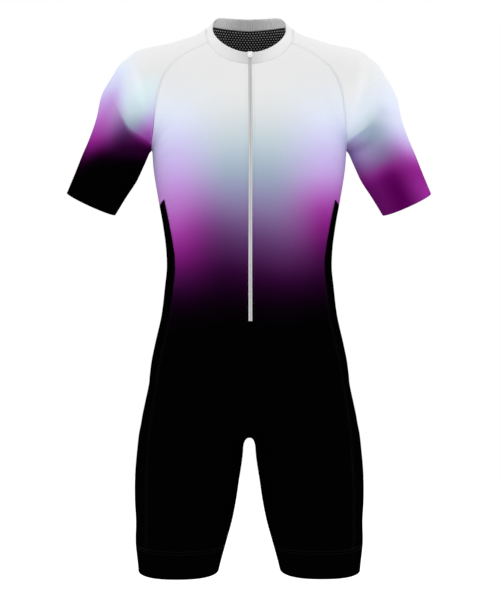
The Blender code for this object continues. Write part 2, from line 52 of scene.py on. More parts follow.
SEAM_GAP = 0.0003  # between two pieces that are sewn together
FULLNESS = 2.4  # power of the sections: 2 is an ellipse, more is squarer


def table(columns, *rows):
    """Named columns in metres, from rows in millimetres. Turns are in degrees, and a side is -1 or 1."""
    made = dict(zip(columns.split(), np.array(rows, float).T))
    for name in set(made) - {"turn", "side"}:
        made[name] = np.round(made[name] / 1000, 7)
    return made


# Horizontal sections of the trunk, from the crotch up to the neck
TRUNK = table(
    "height half_width front back",
    (248, 100, 34, 48), (259, 130, 60, 78), (274, 152, 76, 99), (300, 164.5, 89, 113), (340, 168.8, 96, 119),
    (370, 166.2, 98, 118), (400, 160.2, 98, 115), (450, 149, 97, 104), (500, 143, 93, 92),
    (530, 140, 91, 87), (560, 141, 92, 86), (600, 146, 96, 89), (650, 154.8, 102, 96),
    (700, 162.5, 108, 103), (740, 164.5, 110, 107), (780, 163, 104, 109), (820, 148, 90, 108),
    (850, 125, 75, 104), (880, 100, 58, 96), (910, 82, 47, 83), (945, 68, 40, 67), (980, 56, 33, 56),
)
# Horizontal sections of one leg
LEG = table(
    "height centre half_width front back",
    (0, 121.5, 65.5, 66, 70), (20, 119.8, 68.2, 68, 72), (68, 115.7, 76.9, 74, 79),
    (102, 110.7, 81.3, 78, 83), (136, 108.2, 85.6, 81, 87), (170, 105.7, 88.2, 84, 91),
    (221, 100.4, 89.8, 88, 97), (260, 97.5, 87.5, 88, 100), (300, 86, 85.5, 84, 98), (340, 76, 74, 74, 88),
)
# Sections square to the arm, at distances from the shoulder joint
SHOULDER = np.array((0.1756, 0.0, 0.8364))
CUFF = np.array((0.2683, 0.0, 0.6387))
ARM = table(
    "distance half_width half_depth shift",
    (0, 58, 65, 0), (45, 61.5, 62, 0), (84, 53, 57.5, 0), (120, 51.2, 55.5, 2), (150, 50.8, 53, 2.5),
    (182, 47.6, 50.8, 1.2), (218, 44.8, 48, 0),
)
# Sections square to the line from the neck base to the shoulder joint
YOKE_START = np.array((0.040, 0.0, 0.866))
YOKE = table(
    "distance half_width half_depth",
    (0, 50, 58), (60, 64, 64), (100, 62.2, 66), (139, 53.2, 64),
)
YOKE_BULGE = 0.014  # how far its rounded end reaches past the joint
BLEND_LEGS = 0.012  # softness where two forms run into each other
BLEND_HIPS = 0.025
BLEND_SHOULDER = 0.035
BLEND_ARMPIT = table(
    "height softness",
    (720, 3), (760, 12), (820, 30), (900, 30),
)

# Height of the neck seam, by its turn from the front
NECK_SEAM = table(
    "turn height",
    (0, 866.2), (10, 866.8), (27, 872.4), (38, 880.5), (55, 905), (71, 928.6), (90, 938), (118, 945.6),
    (148, 947), (180, 945.2),
)
# The collar's top edge: its half sizes in plan, and its heights in front, at the side and behind
COLLAR_TOP = (0.0625, 0.060, 0.8870, 0.941, 0.9656)
COLLAR_FULLNESS = 2.2
RAGLAN_FRONT_TURN = math.radians(55)  # where the raglan seams leave the neck, from its front
RAGLAN_BACK_TURN = math.radians(118)
RAGLAN_FRONT = table(
    "across height",
    (103.8, 887.7), (132.8, 866.3), (145.5, 845), (153.4, 819.6), (156.7, 798.3), (159, 771.5),
)
RAGLAN_BACK = table(
    "across height",
    (85, 908), (120, 880), (142, 846), (154, 808), (160, 772),
)
# Front seam of the side panel, from the hem to its tip. Above that it is only a line of the surface
SIDE_SEAM = table(
    "height across",
    (0, 164), (64, 171.7), (144, 172.2), (198, 171), (244, 166.5), (311, 159.7), (377, 149), (402, 143),
    (432, 136.2), (464, 130.6), (491, 127.8), (534, 123.7), (549, 124.8), (595, 132.4), (644, 141.7),
    (740, 150),
)
PANEL_TIP = 0.648  # height of the side panel's front and back tips
PANEL_DIP = 0.017  # its top edge is this much lower at the side
DIP_HEIGHT = 0.020  # rows this near the tip follow the edge down
DIP_TURN = math.radians(16)  # and on this much of the turn from the front to the back
ZIP_HALF_WIDTH = 0.0042
ZIP_END = 0.442
HIP_LINE = 0.288  # lowest level where the section is one ring
CROTCH = 0.215  # highest level with a whole ring for each leg
BAND_SEAM = 0.065
HEM = 0.020
HEM_SLOPE = 0.09  # leg hems and band seams fall towards the front
CUFF_SLOPE = 0.12
PIT_ACROSS = (0.150, 0.185)  # where the armpit's highest point is looked for
PIT_HEIGHT = (0.660, 0.800)
BELOW_PIT = 0.003  # the rings that meet at the armpit are measured this far from it

# Spans between lines of the surface: how many faces lie across each
FRONT_SPANS, SIDE_SPANS, BACK_SPANS, INSEAM_SPANS, SLEEVE_SPANS = 6, 4, 7, 4, 12
HALF_SIDE = SIDE_SPANS // 2
RAGLAN_ROWS, SLEEVE_ROWS, COLLAR_ROWS = 10, 6, 2
CHEST_ROWS, WAIST_ROWS, HIP_ROWS = 4, 8, 6  # down to the panel's tip, to the zip's end, to the hip line
CROTCH_ROWS, THIGH_ROWS, BAND_ROWS = 4, 6, 2
HALF_TURN = np.linspace(0, math.pi, 241)  # ways in which a ring's points are looked for
WHOLE_TURN = np.linspace(0, 2 * math.pi, 361)


# ---- the form that fills the suit out


def read(tab, column, at):
    """A column of a table by its first one, as a smooth curve between its rows."""
    xs, ys = next(iter(tab.values())), tab[column]
    rates = np.gradient(ys, xs)
    at = np.clip(at, xs[0], xs[-1])
    i = np.clip(np.searchsorted(xs, at) - 1, 0, len(xs) - 2)
    step = xs[i + 1] - xs[i]
    t = (at - xs[i]) / step
    rise = ys[i] * (1 + 2 * t) * (1 - t) ** 2 + ys[i + 1] * t * t * (3 - 2 * t)
    return rise + step * t * (1 - t) * (rates[i] * (1 - t) - rates[i + 1] * t)


def stack(tab, x, y, height, closed_below):
    """Roughly the distance outside a stack of horizontal sections."""
    wide = read(tab, "half_width", height)
    deep = np.where(y < 0, read(tab, "front", height), read(tab, "back", height))
    centre = read(tab, "centre", height) if "centre" in tab else 0
    turn = (np.abs((x - centre) / wide) ** FULLNESS + np.abs(y / deep) ** FULLNESS) ** (1 / FULLNESS)
    out = (turn - 1) * np.minimum(wide, deep)
    past = np.maximum(height - tab["height"][-1], 0)
    if closed_below:
        past = np.maximum(past, tab["height"][0] - height)
    return np.where(past > 0, np.hypot(np.maximum(out, 0), past), out)


def limb(tab, start, end, end_bulge, x, y, height):
    """Roughly the distance outside a tapering limb, round at its start and bulging at its end."""
    long = np.linalg.norm(end - start)
    axis = (end - start) / long
    along = (x - start[0]) * axis[0] + (height - start[2]) * axis[2]
    across = (height - start[2]) * axis[0] - (x - start[0]) * axis[2]
    if "shift" in tab:
        across = across + read(tab, "shift", along)
    wide, deep = read(tab, "half_width", along), read(tab, "half_depth", along)
    past = np.where(along < 0, along / wide, np.maximum(along - long, 0) / end_bulge)
    turn = np.sqrt((across / wide) ** 2 + (y / deep) ** 2 + past**2)
    return (turn - 1) * np.minimum(wide, deep)


def joined(a, b, softness):
    """The distance outside two forms that run softly into each other."""
    near = np.maximum(softness - np.abs(a - b), 0) / softness
    return np.minimum(a, b) - near * near * softness / 4


def field(points):
    """Below zero inside the filled-out suit, zero on its outer face, above zero outside it."""
    x, y, height = np.abs(points[..., 0]), points[..., 1], points[..., 2]
    legs = joined(stack(LEG, x, y, height, False), stack(LEG, -x, y, height, False), BLEND_LEGS)
    body = joined(stack(TRUNK, x, y, height, True), legs, BLEND_HIPS)
    yoke = limb(YOKE, YOKE_START, SHOULDER, YOKE_BULGE, x, y, height)
    arm = limb(ARM, SHOULDER, CUFF, math.inf, x, y, height)
    return joined(joined(body, yoke, BLEND_SHOULDER), arm, read(BLEND_ARMPIT, "softness", height))


def slopes(points, step=0.0005):
    """How fast that distance grows along each axis."""
    return np.stack(
        [(field(points + step * e) - field(points - step * e)) / (2 * step) for e in np.eye(3)], axis=-1
    )


def settled(points, rounds=6):
    """The points moved straight onto the outer face."""
    for _ in range(rounds):
        g = slopes(points)
        points = points - (field(points) / (g * g).sum(-1))[..., None] * g
    return points


def cast(starts, ways, reach=0.32, step=0.001, halvings=24):
    """Where lines from inside the form first leave it."""
    far = np.arange(0, reach, step)
    inside = field(starts[:, None] + far[None, :, None] * ways[:, None]) < 0
    first = np.argmin(inside, axis=1)
    low, high = far[first - 1], far[first]
    for _ in range(halvings):
        middle = (low + high) / 2
        out = field(starts + middle[:, None] * ways) > 0
        low, high = np.where(out, low, middle), np.where(out, middle, high)
    return starts + low[:, None] * ways


# ---- lines and grids on that form


def unit(ways):
    return ways / np.linalg.norm(ways, axis=-1, keepdims=True)


def bell(x):
    return np.exp(-(x**2))


def lengths(line):
    """How far along a line each of its points is."""
    return np.concatenate([[0], np.cumsum(np.linalg.norm(np.diff(line, axis=0), axis=1))])


def rises(grid):
    """How far along the cloth each row of a grid is, on the whole."""
    return np.concatenate([[0], np.cumsum(np.linalg.norm(np.diff(grid, axis=0), axis=2).mean(1))])


def spots(line, at, places):
    """Points of a line whose own points are at the given lengths."""
    return np.stack([np.interp(places, at, line[:, k]) for k in range(3)], axis=1)


def curved(line, count):
    """The line as a smooth curve through its points, with this many points in even steps."""
    at = lengths(line)
    curve = {"at": at, "x": line[:, 0], "y": line[:, 1], "z": line[:, 2]}
    return np.stack([read(curve, c, np.linspace(0, at[-1], count)) for c in "xyz"], axis=1)


def divided(line, counts, stops=()):
    """Points along a line, with counts[i] equal steps between its stops, which are lengths along it."""
    at = lengths(line)
    marks = [0, *stops, at[-1]]
    places = [np.linspace(a, b, n + 1)[1:] for a, b, n in zip(marks, marks[1:], counts)]
    return spots(line, at, np.concatenate([[0], *places]))


def turned(centre, first, second, angles):
    """Rays from a centre, turning from the first way towards the second, to the outer face."""
    ways = unit(np.cos(angles)[:, None] * first + np.sin(angles)[:, None] * second)
    return cast(np.broadcast_to(centre, ways.shape).copy(), ways)


def face_point(across, height, side=-1):
    """The point of the outer face straight in front of, or behind, a point of the middle plane."""
    return cast(np.array([(across, 0.0, height)]), side * Y[None])[0]


def trunk_row(height):
    """Half a ring of the trunk, from the centre front round the side to the centre back."""
    line = turned(height * Z, -Y, X, HALF_TURN)
    dip = PANEL_DIP * math.exp(-(((height - PANEL_TIP) / DIP_HEIGHT) ** 2))
    line[:, 2] -= dip * bell((HALF_TURN - math.pi / 2) / DIP_TURN)
    line = settled(line)
    at, side = lengths(line), int(np.argmax(line[:, 0]))
    seam = read(SIDE_SEAM, "across", height)
    stops = [
        np.interp(ZIP_HALF_WIDTH, line[: side + 1, 0], at[: side + 1]),
        np.interp(seam, line[: side + 1, 0], at[: side + 1]),
        at[side],
        np.interp(-seam, -line[side:, 0], at[side:]),
    ]
    row = settled(divided(line, (1, FRONT_SPANS, HALF_SIDE, HALF_SIDE, BACK_SPANS), stops))
    row[0, 0] = row[-1, 0] = 0
    row[1, 0] = ZIP_HALF_WIDTH
    return row


def leg_row(height):
    """A ring of one leg, from the inseam round the front and the side to the inseam."""
    slope = HEM_SLOPE * np.clip((CROTCH - height) / (CROTCH - BAND_SEAM), 0, 1)
    centre = np.array((read(LEG, "centre", height), 0, height))
    line = turned(centre, -X, -Y - slope * Z, WHOLE_TURN)
    at, front, side, back = lengths(line), 90, 180, 270
    seam = read(SIDE_SEAM, "across", height)
    stops = [
        np.interp(seam, line[front:side, 0], at[front:side]),
        at[side],
        np.interp(-seam, -line[side:back, 0], at[side:back]),
    ]
    counts = (INSEAM_SPANS + 1 + FRONT_SPANS, HALF_SIDE, HALF_SIDE, BACK_SPANS + INSEAM_SPANS)
    return settled(divided(line, counts, stops))


def patch(bottom, top, left, right, rounds=12):
    """A grid between four lines, evened out and settled on the outer face."""
    s = np.linspace(0, 1, len(bottom))[None, :, None]
    t = np.linspace(0, 1, len(left))[:, None, None]
    grid = (1 - t) * bottom[None] + t * top[None] + (1 - s) * left[:, None] + s * right[:, None]
    grid -= (1 - t) * ((1 - s) * bottom[0] + s * bottom[-1]) + t * ((1 - s) * top[0] + s * top[-1])
    grid[0], grid[-1], grid[:, 0], grid[:, -1] = bottom, top, left, right
    for _ in range(rounds):
        middle = (grid[:-2, 1:-1] + grid[2:, 1:-1] + grid[1:-1, :-2] + grid[1:-1, 2:]) / 4
        grid[1:-1, 1:-1] = settled(middle, 3)
    return grid


def evened_round(rows, count, rounds=12):
    """Evens out a leg's first rings between the highest and the last, but not the side panel's columns."""
    first = INSEAM_SPANS + 1 + FRONT_SPANS
    free = [j for j in range(1, len(rows[0]) - 1) if not first <= j <= first + SIDE_SPANS]
    grid = np.array(rows[:count])
    for _ in range(rounds):
        beside = np.roll(grid[1:-1], 1, axis=1) + np.roll(grid[1:-1], -1, axis=1)
        middle = (grid[:-2] + grid[2:] + beside) / 4
        grid[1:-1, free] = settled(middle[:, free], 3)
    rows[:count] = list(grid)


def neck_seam(turns):
    """Points of the neck seam, by their turns from the front."""
    height = read(NECK_SEAM, "height", np.degrees(turns))
    ways = np.stack([np.sin(turns), -np.cos(turns), 0 * turns], axis=1)
    return cast(height[:, None] * Z, ways)


def collar_top(turns):
    """Points of the collar's top edge, by their turns from the front."""
    half_width, half_depth, front, side, back = COLLAR_TOP
    x, y, mean = np.sin(turns), -np.cos(turns), (front + back) / 2
    height = mean + (back - front) / 2 * y + (side - mean) * x**2
    wide = np.abs(x / half_width) ** COLLAR_FULLNESS
    deep = np.abs(y / half_depth) ** COLLAR_FULLNESS
    reach = (wide + deep) ** (-1 / COLLAR_FULLNESS)
    return np.stack([reach * x, reach * y, height], axis=1)


def armpit():
    """The highest point of the gap between the sleeve and the side."""
    across = np.linspace(*PIT_ACROSS, 141)[:, None]
    heights = np.linspace(*PIT_HEIGHT, 1401)[None]
    inside = field(np.stack(np.broadcast_arrays(across, 0, heights), axis=-1)) < 0
    lowest = heights[0, np.argmax(inside, axis=1)]
    best = np.argmax(lowest)
    return np.array((across[best, 0], 0, lowest[best]))


def raglan(tab, neck_end, pit, side):
    """A raglan seam from the armpit to the neck."""
    points = [face_point(a, h, side) for a, h in zip(tab["across"], tab["height"])]
    line = settled(curved(np.array([neck_end, *points, pit])[::-1], 200))
    line[0], line[-1] = pit, neck_end
    row = settled(divided(line, (RAGLAN_ROWS,)))
    row[0], row[-1] = pit, neck_end
    return row


def up_the_middle(across, start, end, side):
    """A line up the middle of the front or the back, from the armpits' level to the neck."""
    starts = np.linspace(start[2], end[2], 60)[:, None] * Z + across * X
    line = cast(starts, np.broadcast_to(side * Y, starts.shape))
    row = divided(np.array([start, *line[1:-1], end]), (RAGLAN_ROWS,))
    row[1:-1] = settled(row[1:-1])
    row[:, 0] = across
    return row


def grids():
    """The surface of one half as named grids. Rows go up, and columns from the front round to the back."""
    pit = armpit()
    levels = pit[2] - BELOW_PIT, PANEL_TIP, ZIP_END, HIP_LINE
    trunk = [trunk_row(levels[0])]
    for top, bottom, count in zip(levels, levels[1:], (CHEST_ROWS, WAIST_ROWS, HIP_ROWS)):
        trunk += [trunk_row(h) for h in np.linspace(top, bottom, count + 1)[1:]]
    side = 1 + FRONT_SPANS + HALF_SIDE
    trunk[0][side] = pit
    pit_row = trunk[0]

    # Below the hip line the ring takes in the crotch curve, and divides into the two legs
    hips = trunk[-1]
    under = turned(HIP_LINE * Z, -Y, -Z, np.linspace(0, math.pi, 181))
    saddle = int(np.argmin(under[:, 2]))
    crotch = divided(under, (INSEAM_SPANS, INSEAM_SPANS), (lengths(under)[saddle],))
    crotch[:, 0] = 0
    ring = np.concatenate([crotch[INSEAM_SPANS:0:-1], hips, crotch[-2 : INSEAM_SPANS - 1 : -1]])
    levels = np.linspace(CROTCH, BAND_SEAM, THIGH_ROWS + 1)
    first = leg_row(levels[0])
    leg = [ring]
    for t in np.arange(1, CROTCH_ROWS) / CROTCH_ROWS:
        leg.append(settled((1 - t) * ring + t * first))
    leg += [first] + [leg_row(h) for h in levels[1:]]
    evened_round(leg, CROTCH_ROWS + 2)
    leg += [leg_row(h) for h in np.linspace(BAND_SEAM, HEM, BAND_ROWS + 1)[1:]]

    # Above the armpits: front, sleeve and back run up to the neck
    ends = 0, RAGLAN_FRONT_TURN, RAGLAN_BACK_TURN, math.pi
    spans = {"front": FRONT_SPANS + HALF_SIDE, "sleeve": SLEEVE_SPANS, "back": BACK_SPANS + HALF_SIDE}
    seam = {}
    for (name, count), start, end in zip(spans.items(), ends, ends[1:]):
        seam[name] = neck_seam(np.linspace(start, end, count + 1))
    seam["front"][0] = face_point(ZIP_HALF_WIDTH, seam["front"][0][2])
    seam["back"][-1, 0] = 0
    front_seam = raglan(RAGLAN_FRONT, seam["front"][-1], pit, -1)
    back_seam = raglan(RAGLAN_BACK, seam["back"][0], pit, 1)
    seam["sleeve"][0], seam["sleeve"][-1] = front_seam[-1], back_seam[-1]
    centre_front = up_the_middle(0.0, pit_row[0], face_point(0.0, seam["front"][0][2]), -1)
    zip_edge = up_the_middle(ZIP_HALF_WIDTH, pit_row[1], seam["front"][0], -1)
    centre_back = up_the_middle(0.0, pit_row[-1], seam["back"][-1], 1)
    front = patch(pit_row[1 : side + 1], seam["front"], zip_edge, front_seam)
    back = patch(pit_row[side:], seam["back"], back_seam, centre_back)

    # The sleeve: rings from the cuff to the armpit, and then a patch between the raglan seams
    axis = (CUFF - SHOULDER) / np.linalg.norm(CUFF - SHOULDER)
    start = SHOULDER + axis * ((pit - SHOULDER) @ axis + BELOW_PIT)
    rows = []
    for t in np.arange(SLEEVE_ROWS + 1) / SLEEVE_ROWS:
        inward, forward = axis[2] * X - axis[0] * Z, CUFF_SLOPE * t * axis - Y
        line = turned((1 - t) * start + t * CUFF, inward, forward, WHOLE_TURN)
        rows.append(settled(divided(line, (SLEEVE_SPANS,))))
        rows[-1][-1] = rows[-1][0]
    rows[0][0] = rows[0][-1] = pit
    top = patch(rows[0], seam["sleeve"], front_seam, back_seam)

    # The collar stands on the neck seam
    foot = np.concatenate([[centre_front[-1]], seam["front"], seam["sleeve"][1:], seam["back"][1:]])
    rim = collar_top(np.arctan2(foot[:, 0], -foot[:, 1]))
    rim[1, 0] = ZIP_HALF_WIDTH
    rim[0, 0] = rim[-1, 0] = 0
    return {
        "trunk": np.array(trunk[::-1]),
        "leg": np.array(leg[::-1]),
        "centre": np.stack([centre_front, zip_edge], axis=1),
        "front": front,
        "back": back,
        "sleeve": np.concatenate([np.array(rows[::-1]), top[1:]]),
        "collar": np.stack([foot + (rim - foot) * i / COLLAR_ROWS for i in range(COLLAR_ROWS + 1)]),
    }


# ---- the fine outer face

LEVELS = 2  # how often the coarse faces are divided by four
SETTLE_ROUNDS = 5
SETTLE_STEP = 0.001  # the most that a point moves in one round
LEAST_SLOPE = 0.25  # a smaller one, squared, is taken as this
SIDES = {"left": 1, "right": -1}
PAIRED = [f"{kind}_{side}" for kind in ("sleeve", "side_panel", "leg_band") for side in SIDES]
SHELLS = ["front", "back", *PAIRED]
PIECES = [*SHELLS, "collar", "zip"]
CORNERED = [PIECES.index(name) for name in ("side_panel_left", "side_panel_right", "zip")]
COLLAR_MARKS = (PIECES.index("collar"), PIECES.index("zip"))

CREASE_REACH = 0.05  # how far in front of its middle or behind it a crease works
CREASE_FACING = 0.1  # least part of the crease's own way out that the cloth faces
RIDGES = ((0.55, 1.7), (0.3, -1.8))  # beside each trough: height in its depths, and place in its widths
# Creases: the two ends on the front or the back (side -1 or 1), a width, a depth and a bow
CREASES = table(
    "x1 h1 x2 h2 side width depth bow",
    # from the armpits across the chest and the shoulder blades
    (156, 742, 108, 775, -1, 6, 1.2, 6), (152, 724, 98, 733, -1, 7.5, 1, 4),
    (149, 700, 112, 690, -1, 6, 0.7, -3), (-156, 740, -112, 782, -1, 6, 1, -5),
    (-153, 720, -90, 726, -1, 8, 1.1, -4), (-148, 696, -118, 684, -1, 5.5, 0.7, 2),
    (156, 746, 102, 790, 1, 7, 1.3, 6), (151, 718, 90, 720, 1, 8, 1.2, 3),
    (-156, 744, -108, 798, 1, 6.5, 1.2, -7), (-151, 722, -96, 716, 1, 8.5, 1.2, -2),
    # round the waist, short and shallow in front and a little deeper in the small of the back
    (133, 548, 86, 540, -1, 6, 0.7, 3), (129, 519, 94, 505, -1, 5.5, 0.6, -2),
    (-132, 556, -92, 551, -1, 6, 0.7, 3), (-129, 512, -88, 501, -1, 6, 0.6, 2),
    (125, 552, 20, 544, 1, 8.5, 1.5, 4), (124, 523, 36, 512, 1, 8, 1.2, -3),
    (-125, 544, -34, 532, 1, 8.5, 1.4, 5), (-123, 510, -12, 497, 1, 8, 1.2, 3),
    # whiskers from the crotch, in front and behind
    (24, 256, 98, 296, -1, 6.5, 1.1, 4), (28, 238, 110, 256, -1, 7, 1.1, 3),
    (33, 220, 96, 219, -1, 6, 0.9, -3), (-24, 258, -90, 304, -1, 6.5, 1, -4),
    (-29, 240, -116, 263, -1, 7, 1.2, -3), (-33, 221, -90, 216, -1, 6, 0.9, 3),
    (22, 254, 106, 278, 1, 8.5, 1.6, 6), (30, 230, 112, 234, 1, 8, 1.4, 3),
    (-22, 256, -102, 284, 1, 8.5, 1.6, -6), (-31, 231, -116, 237, 1, 8, 1.3, -3),
    # across the thighs, above the bands
    (78, 124, 145, 116, -1, 6, 0.6, 3), (86, 86, 150, 90, -1, 5, 0.6, -2),
    (-82, 118, -150, 126, -1, 6, 0.7, 3), (-85, 88, -136, 85, -1, 5, 0.6, -2),
    (80, 136, 150, 126, 1, 7, 1.1, 4), (82, 98, 142, 92, 1, 6, 1, -3), (-80, 130, -148, 140, 1, 7, 1.1, 4),
    (-86, 96, -150, 101, 1, 6, 0.9, 3),
    # on the sleeves, from the armpit out and up
    (166, 730, 225, 778, -1, 7.5, 4.6, 9), (176, 724, 236, 736, -1, 7, 1.3, 5),
    (214, 666, 256, 686, -1, 5.5, 0.8, 3), (226, 648, 268, 666, -1, 5, 0.7, 3),
    (-167, 732, -216, 768, -1, 8, 2.6, -7), (-177, 722, -240, 732, -1, 7.5, 1.3, -5),
    (-214, 670, -252, 684, -1, 5.5, 0.7, -3), (170, 742, 220, 786, 1, 8, 2, 8),
    (177, 722, 236, 742, 1, 7.5, 1.5, 5), (212, 672, 256, 684, 1, 6, 0.9, 3),
    (-170, 742, -224, 780, 1, 8, 1.9, -8), (-177, 723, -234, 732, 1, 7.5, 1.5, -5),
    (-216, 664, -258, 680, 1, 5.5, 0.9, -3),
)


def laid_out(name, grid, surface):
    """Where a grid's points lie on the cloth of each kind of piece: across from its middle, and along."""
    steps = np.linalg.norm(np.diff(grid, axis=1), axis=2)
    across = np.cumsum(np.concatenate([np.zeros((len(grid), 1)), steps], axis=1), axis=1)
    along = rises(grid)
    first = 1 + FRONT_SPANS
    last = first + SIDE_SPANS

    def past(column):
        return across - across[:, [column]]

    if name == "leg":
        around = lengths(surface["trunk"][0])
        front = past(INSEAM_SPANS + first) + around[first]
        back = -past(INSEAM_SPANS + last) + around[-1] - around[last]
        return dict(front=front, back=back, side=past(INSEAM_SPANS + first + 2)), along - along[-1]
    if name == "trunk":
        return dict(front=across, back=-past(-1), side=past(first + 2)), along
    up = lengths(surface["trunk"][:, 0])[-1]
    if name == "front":
        return dict(front=across + ZIP_HALF_WIDTH), along + up
    if name == "back":
        return dict(back=-past(-1)), along + up
    return dict(sleeve=past(across.shape[1] // 2), front=across), along


def piece_of(grid, row, column, middle_height, side):
    """The piece that a face of a grid belongs to, on the wearer's left or right."""
    first = 1 + FRONT_SPANS
    if grid == "trunk":
        if column == 0 and middle_height > ZIP_END:
            return "zip"
        if row < HIP_ROWS + WAIST_ROWS and first <= column < first + SIDE_SPANS:
            return "side_panel_" + side
        return "front" if column < first + HALF_SIDE else "back"
    if grid == "leg":
        if row < BAND_ROWS:
            return "leg_band_" + side
        first += INSEAM_SPANS
        if first <= column < first + SIDE_SPANS:
            return "side_panel_" + side
        return "front" if column < first else "back"
    if grid == "centre" or (grid == "collar" and column == 0):
        return "zip"
    return "sleeve_" + side if grid == "sleeve" else grid


def rounded(point):
    """A point as a key, alike for all the grids that share it."""
    return tuple(round(float(c), 6) + 0.0 for c in point)


def cage(surface):
    """The outer face as one coarse mesh. Faces are marked with their pieces, loops with the flat cloth."""
    mesh, vertices = bmesh.new(), {}
    piece = mesh.faces.layers.int.new("piece")
    cloth = mesh.loops.layers.uv.new("cloth")

    def vertex(point):
        key = rounded(point)
        if key not in vertices:
            vertices[key] = mesh.verts.new(key)
        return vertices[key]

    for name, grid in surface.items():
        across, along = laid_out(name, grid, surface)
        for side, mirror in SIDES.items():
            placed = grid * (mirror, 1, 1)
            for i, j in np.ndindex(grid.shape[0] - 1, grid.shape[1] - 1):
                corners = [(i, j), (i, j + 1), (i + 1, j + 1), (i + 1, j)][::mirror]
                face = mesh.faces.new([vertex(placed[c]) for c in corners])
                owner = piece_of(name, i, j, sum(placed[c][2] for c in corners) / 4, side)
                face[piece] = PIECES.index(owner)
                kind = owner.split("_")[0]
                kind = {"leg": "side", "zip": "front", "collar": "front"}.get(kind, kind)
                laid = across.get(kind, across.get("front"))
                for loop, c in zip(face.loops, corners):
                    loop[cloth].uv = mirror * laid[c], along[c[0]]
    return mesh, piece


def baked(name, mesh):
    """The mesh's data, named. The working mesh is let go."""
    data = bpy.data.meshes.new(name)
    mesh.to_mesh(data)
    mesh.free()
    return data


def linked(name, data):
    made = bpy.data.objects.new(name, data)
    bpy.context.scene.collection.objects.link(made)
    return made


def smooth_face(surface):
    """The outer face as a fine mesh that lies on the form, with its creases."""
    coarse, piece = cage(surface)
    crease = coarse.edges.layers.float.new("crease_edge")
    foot = {rounded(p * (m, 1, 1)) for p in surface["collar"][0] for m in (1, -1)}
    for edge in coarse.edges:
        at_foot = all(rounded(v.co) in foot for v in edge.verts)
        edge[crease] = float(at_foot or len({face[piece] for face in edge.link_faces}) > 1)
    sharp = coarse.verts.layers.float.new("crease_vert")
    for v in coarse.verts:
        at = [face[piece] for face in v.link_faces]
        v[sharp] = float(len(at) > 2 and any(at.count(one) == 1 for one in CORNERED))
    made = linked("cage", baked("cage", coarse))
    made.modifiers.new("finer", "SUBSURF").levels = LEVELS
    fine = bpy.data.meshes.new_from_object(made.evaluated_get(bpy.context.evaluated_depsgraph_get()))
    bpy.data.objects.remove(made)

    points = coordinates(fine)
    on_form = np.ones(len(points), bool)
    for face, owner in zip(fine.polygons, marks(fine)):
        if surface["collar"][0, 0, 2] - SETTLE_STEP < face.center.z and owner in COLLAR_MARKS:
            on_form[list(face.vertices)] = False
    for _ in range(SETTLE_ROUNDS):
        g = slopes(points[on_form])
        way = -(field(points[on_form]) / np.maximum((g * g).sum(-1), LEAST_SLOPE))[:, None] * g
        far = np.linalg.norm(way, axis=1, keepdims=True)
        points[on_form] += way * np.minimum(1, SETTLE_STEP / np.maximum(far, 1e-9))
    place(fine, points)
    place(fine, points + creased(points, normals_of(fine), on_form)[:, None] * normals_of(fine))
    return fine


def coordinates(mesh):
    co = np.empty(len(mesh.vertices) * 3, np.float32)
    mesh.vertices.foreach_get("co", co)
    return co.reshape(-1, 3).astype(float)


def normals_of(mesh):
    return np.array([v.vector for v in mesh.vertex_normals])


def place(mesh, points):
    mesh.vertices.foreach_set("co", np.asarray(points, np.float32).ravel())
    mesh.update()


def marks(mesh):
    """The number of the piece that each face belongs to."""
    found = np.empty(len(mesh.polygons), np.int32)
    mesh.attributes["piece"].data.foreach_get("value", found)
    return found


def creased(points, normals, on_form):
    """How far each point moves out or in with the creases: a trough with a ridge on each side."""
    moved = np.zeros(len(points))
    for values in zip(*CREASES.values()):
        c = dict(zip(CREASES, values))
        ends = np.array([face_point(c["x" + k], c["h" + k], c["side"]) for k in "12"])
        middle = settled(ends.mean(0)[None])[0]
        out = slopes(middle[None])[0]
        out /= np.linalg.norm(out)
        long = np.linalg.norm(ends[1] - ends[0])
        line = (ends[1] - ends[0]) / long
        near = points - ends[0]
        t = (near @ line) / long
        off = near @ np.cross(line, out) - c["bow"] * 4 * t * (1 - t)
        depth = np.abs((points - middle) @ out)
        inside = (t > 0) & (t < 1) & (depth < CREASE_REACH) & (normals @ out > CREASE_FACING)
        t = np.clip(t, 0, 1)
        taper = np.where(inside, np.sin(np.pi * t**0.8) ** 1.2, 0)
        wide = c["width"] * (0.8 + 0.5 * t)
        ridges = sum(high * bell((off - at * wide) / wide) for high, at in RIDGES)
        moved += c["depth"] * taper * (ridges - bell(off / wide))
    return np.where(on_form, moved, 0)


# ---- shells

SEAM_DIP = 0.0004  # how far the edges of two pieces turn in where they are sewn
SEAM_ROLL = 0.0016  # over this much of the cloth
KNIT = 0.0011  # thickness of the shell
EDGE_ROLL = 0.0003  # how far a free edge is rounded on each face
BESIDE_ZIP = 1.2 * ZIP_HALF_WIDTH  # edges nearer to the middle than this leave only the shown tape free


def finished(name, mesh, *materials):
    """A piece of the suit from its mesh, whose heights are above the hems."""
    mesh.transform(LOWERED)
    mesh.shade_smooth()
    for one in materials:
        mesh.materials.append(one)
    return linked(name, mesh)


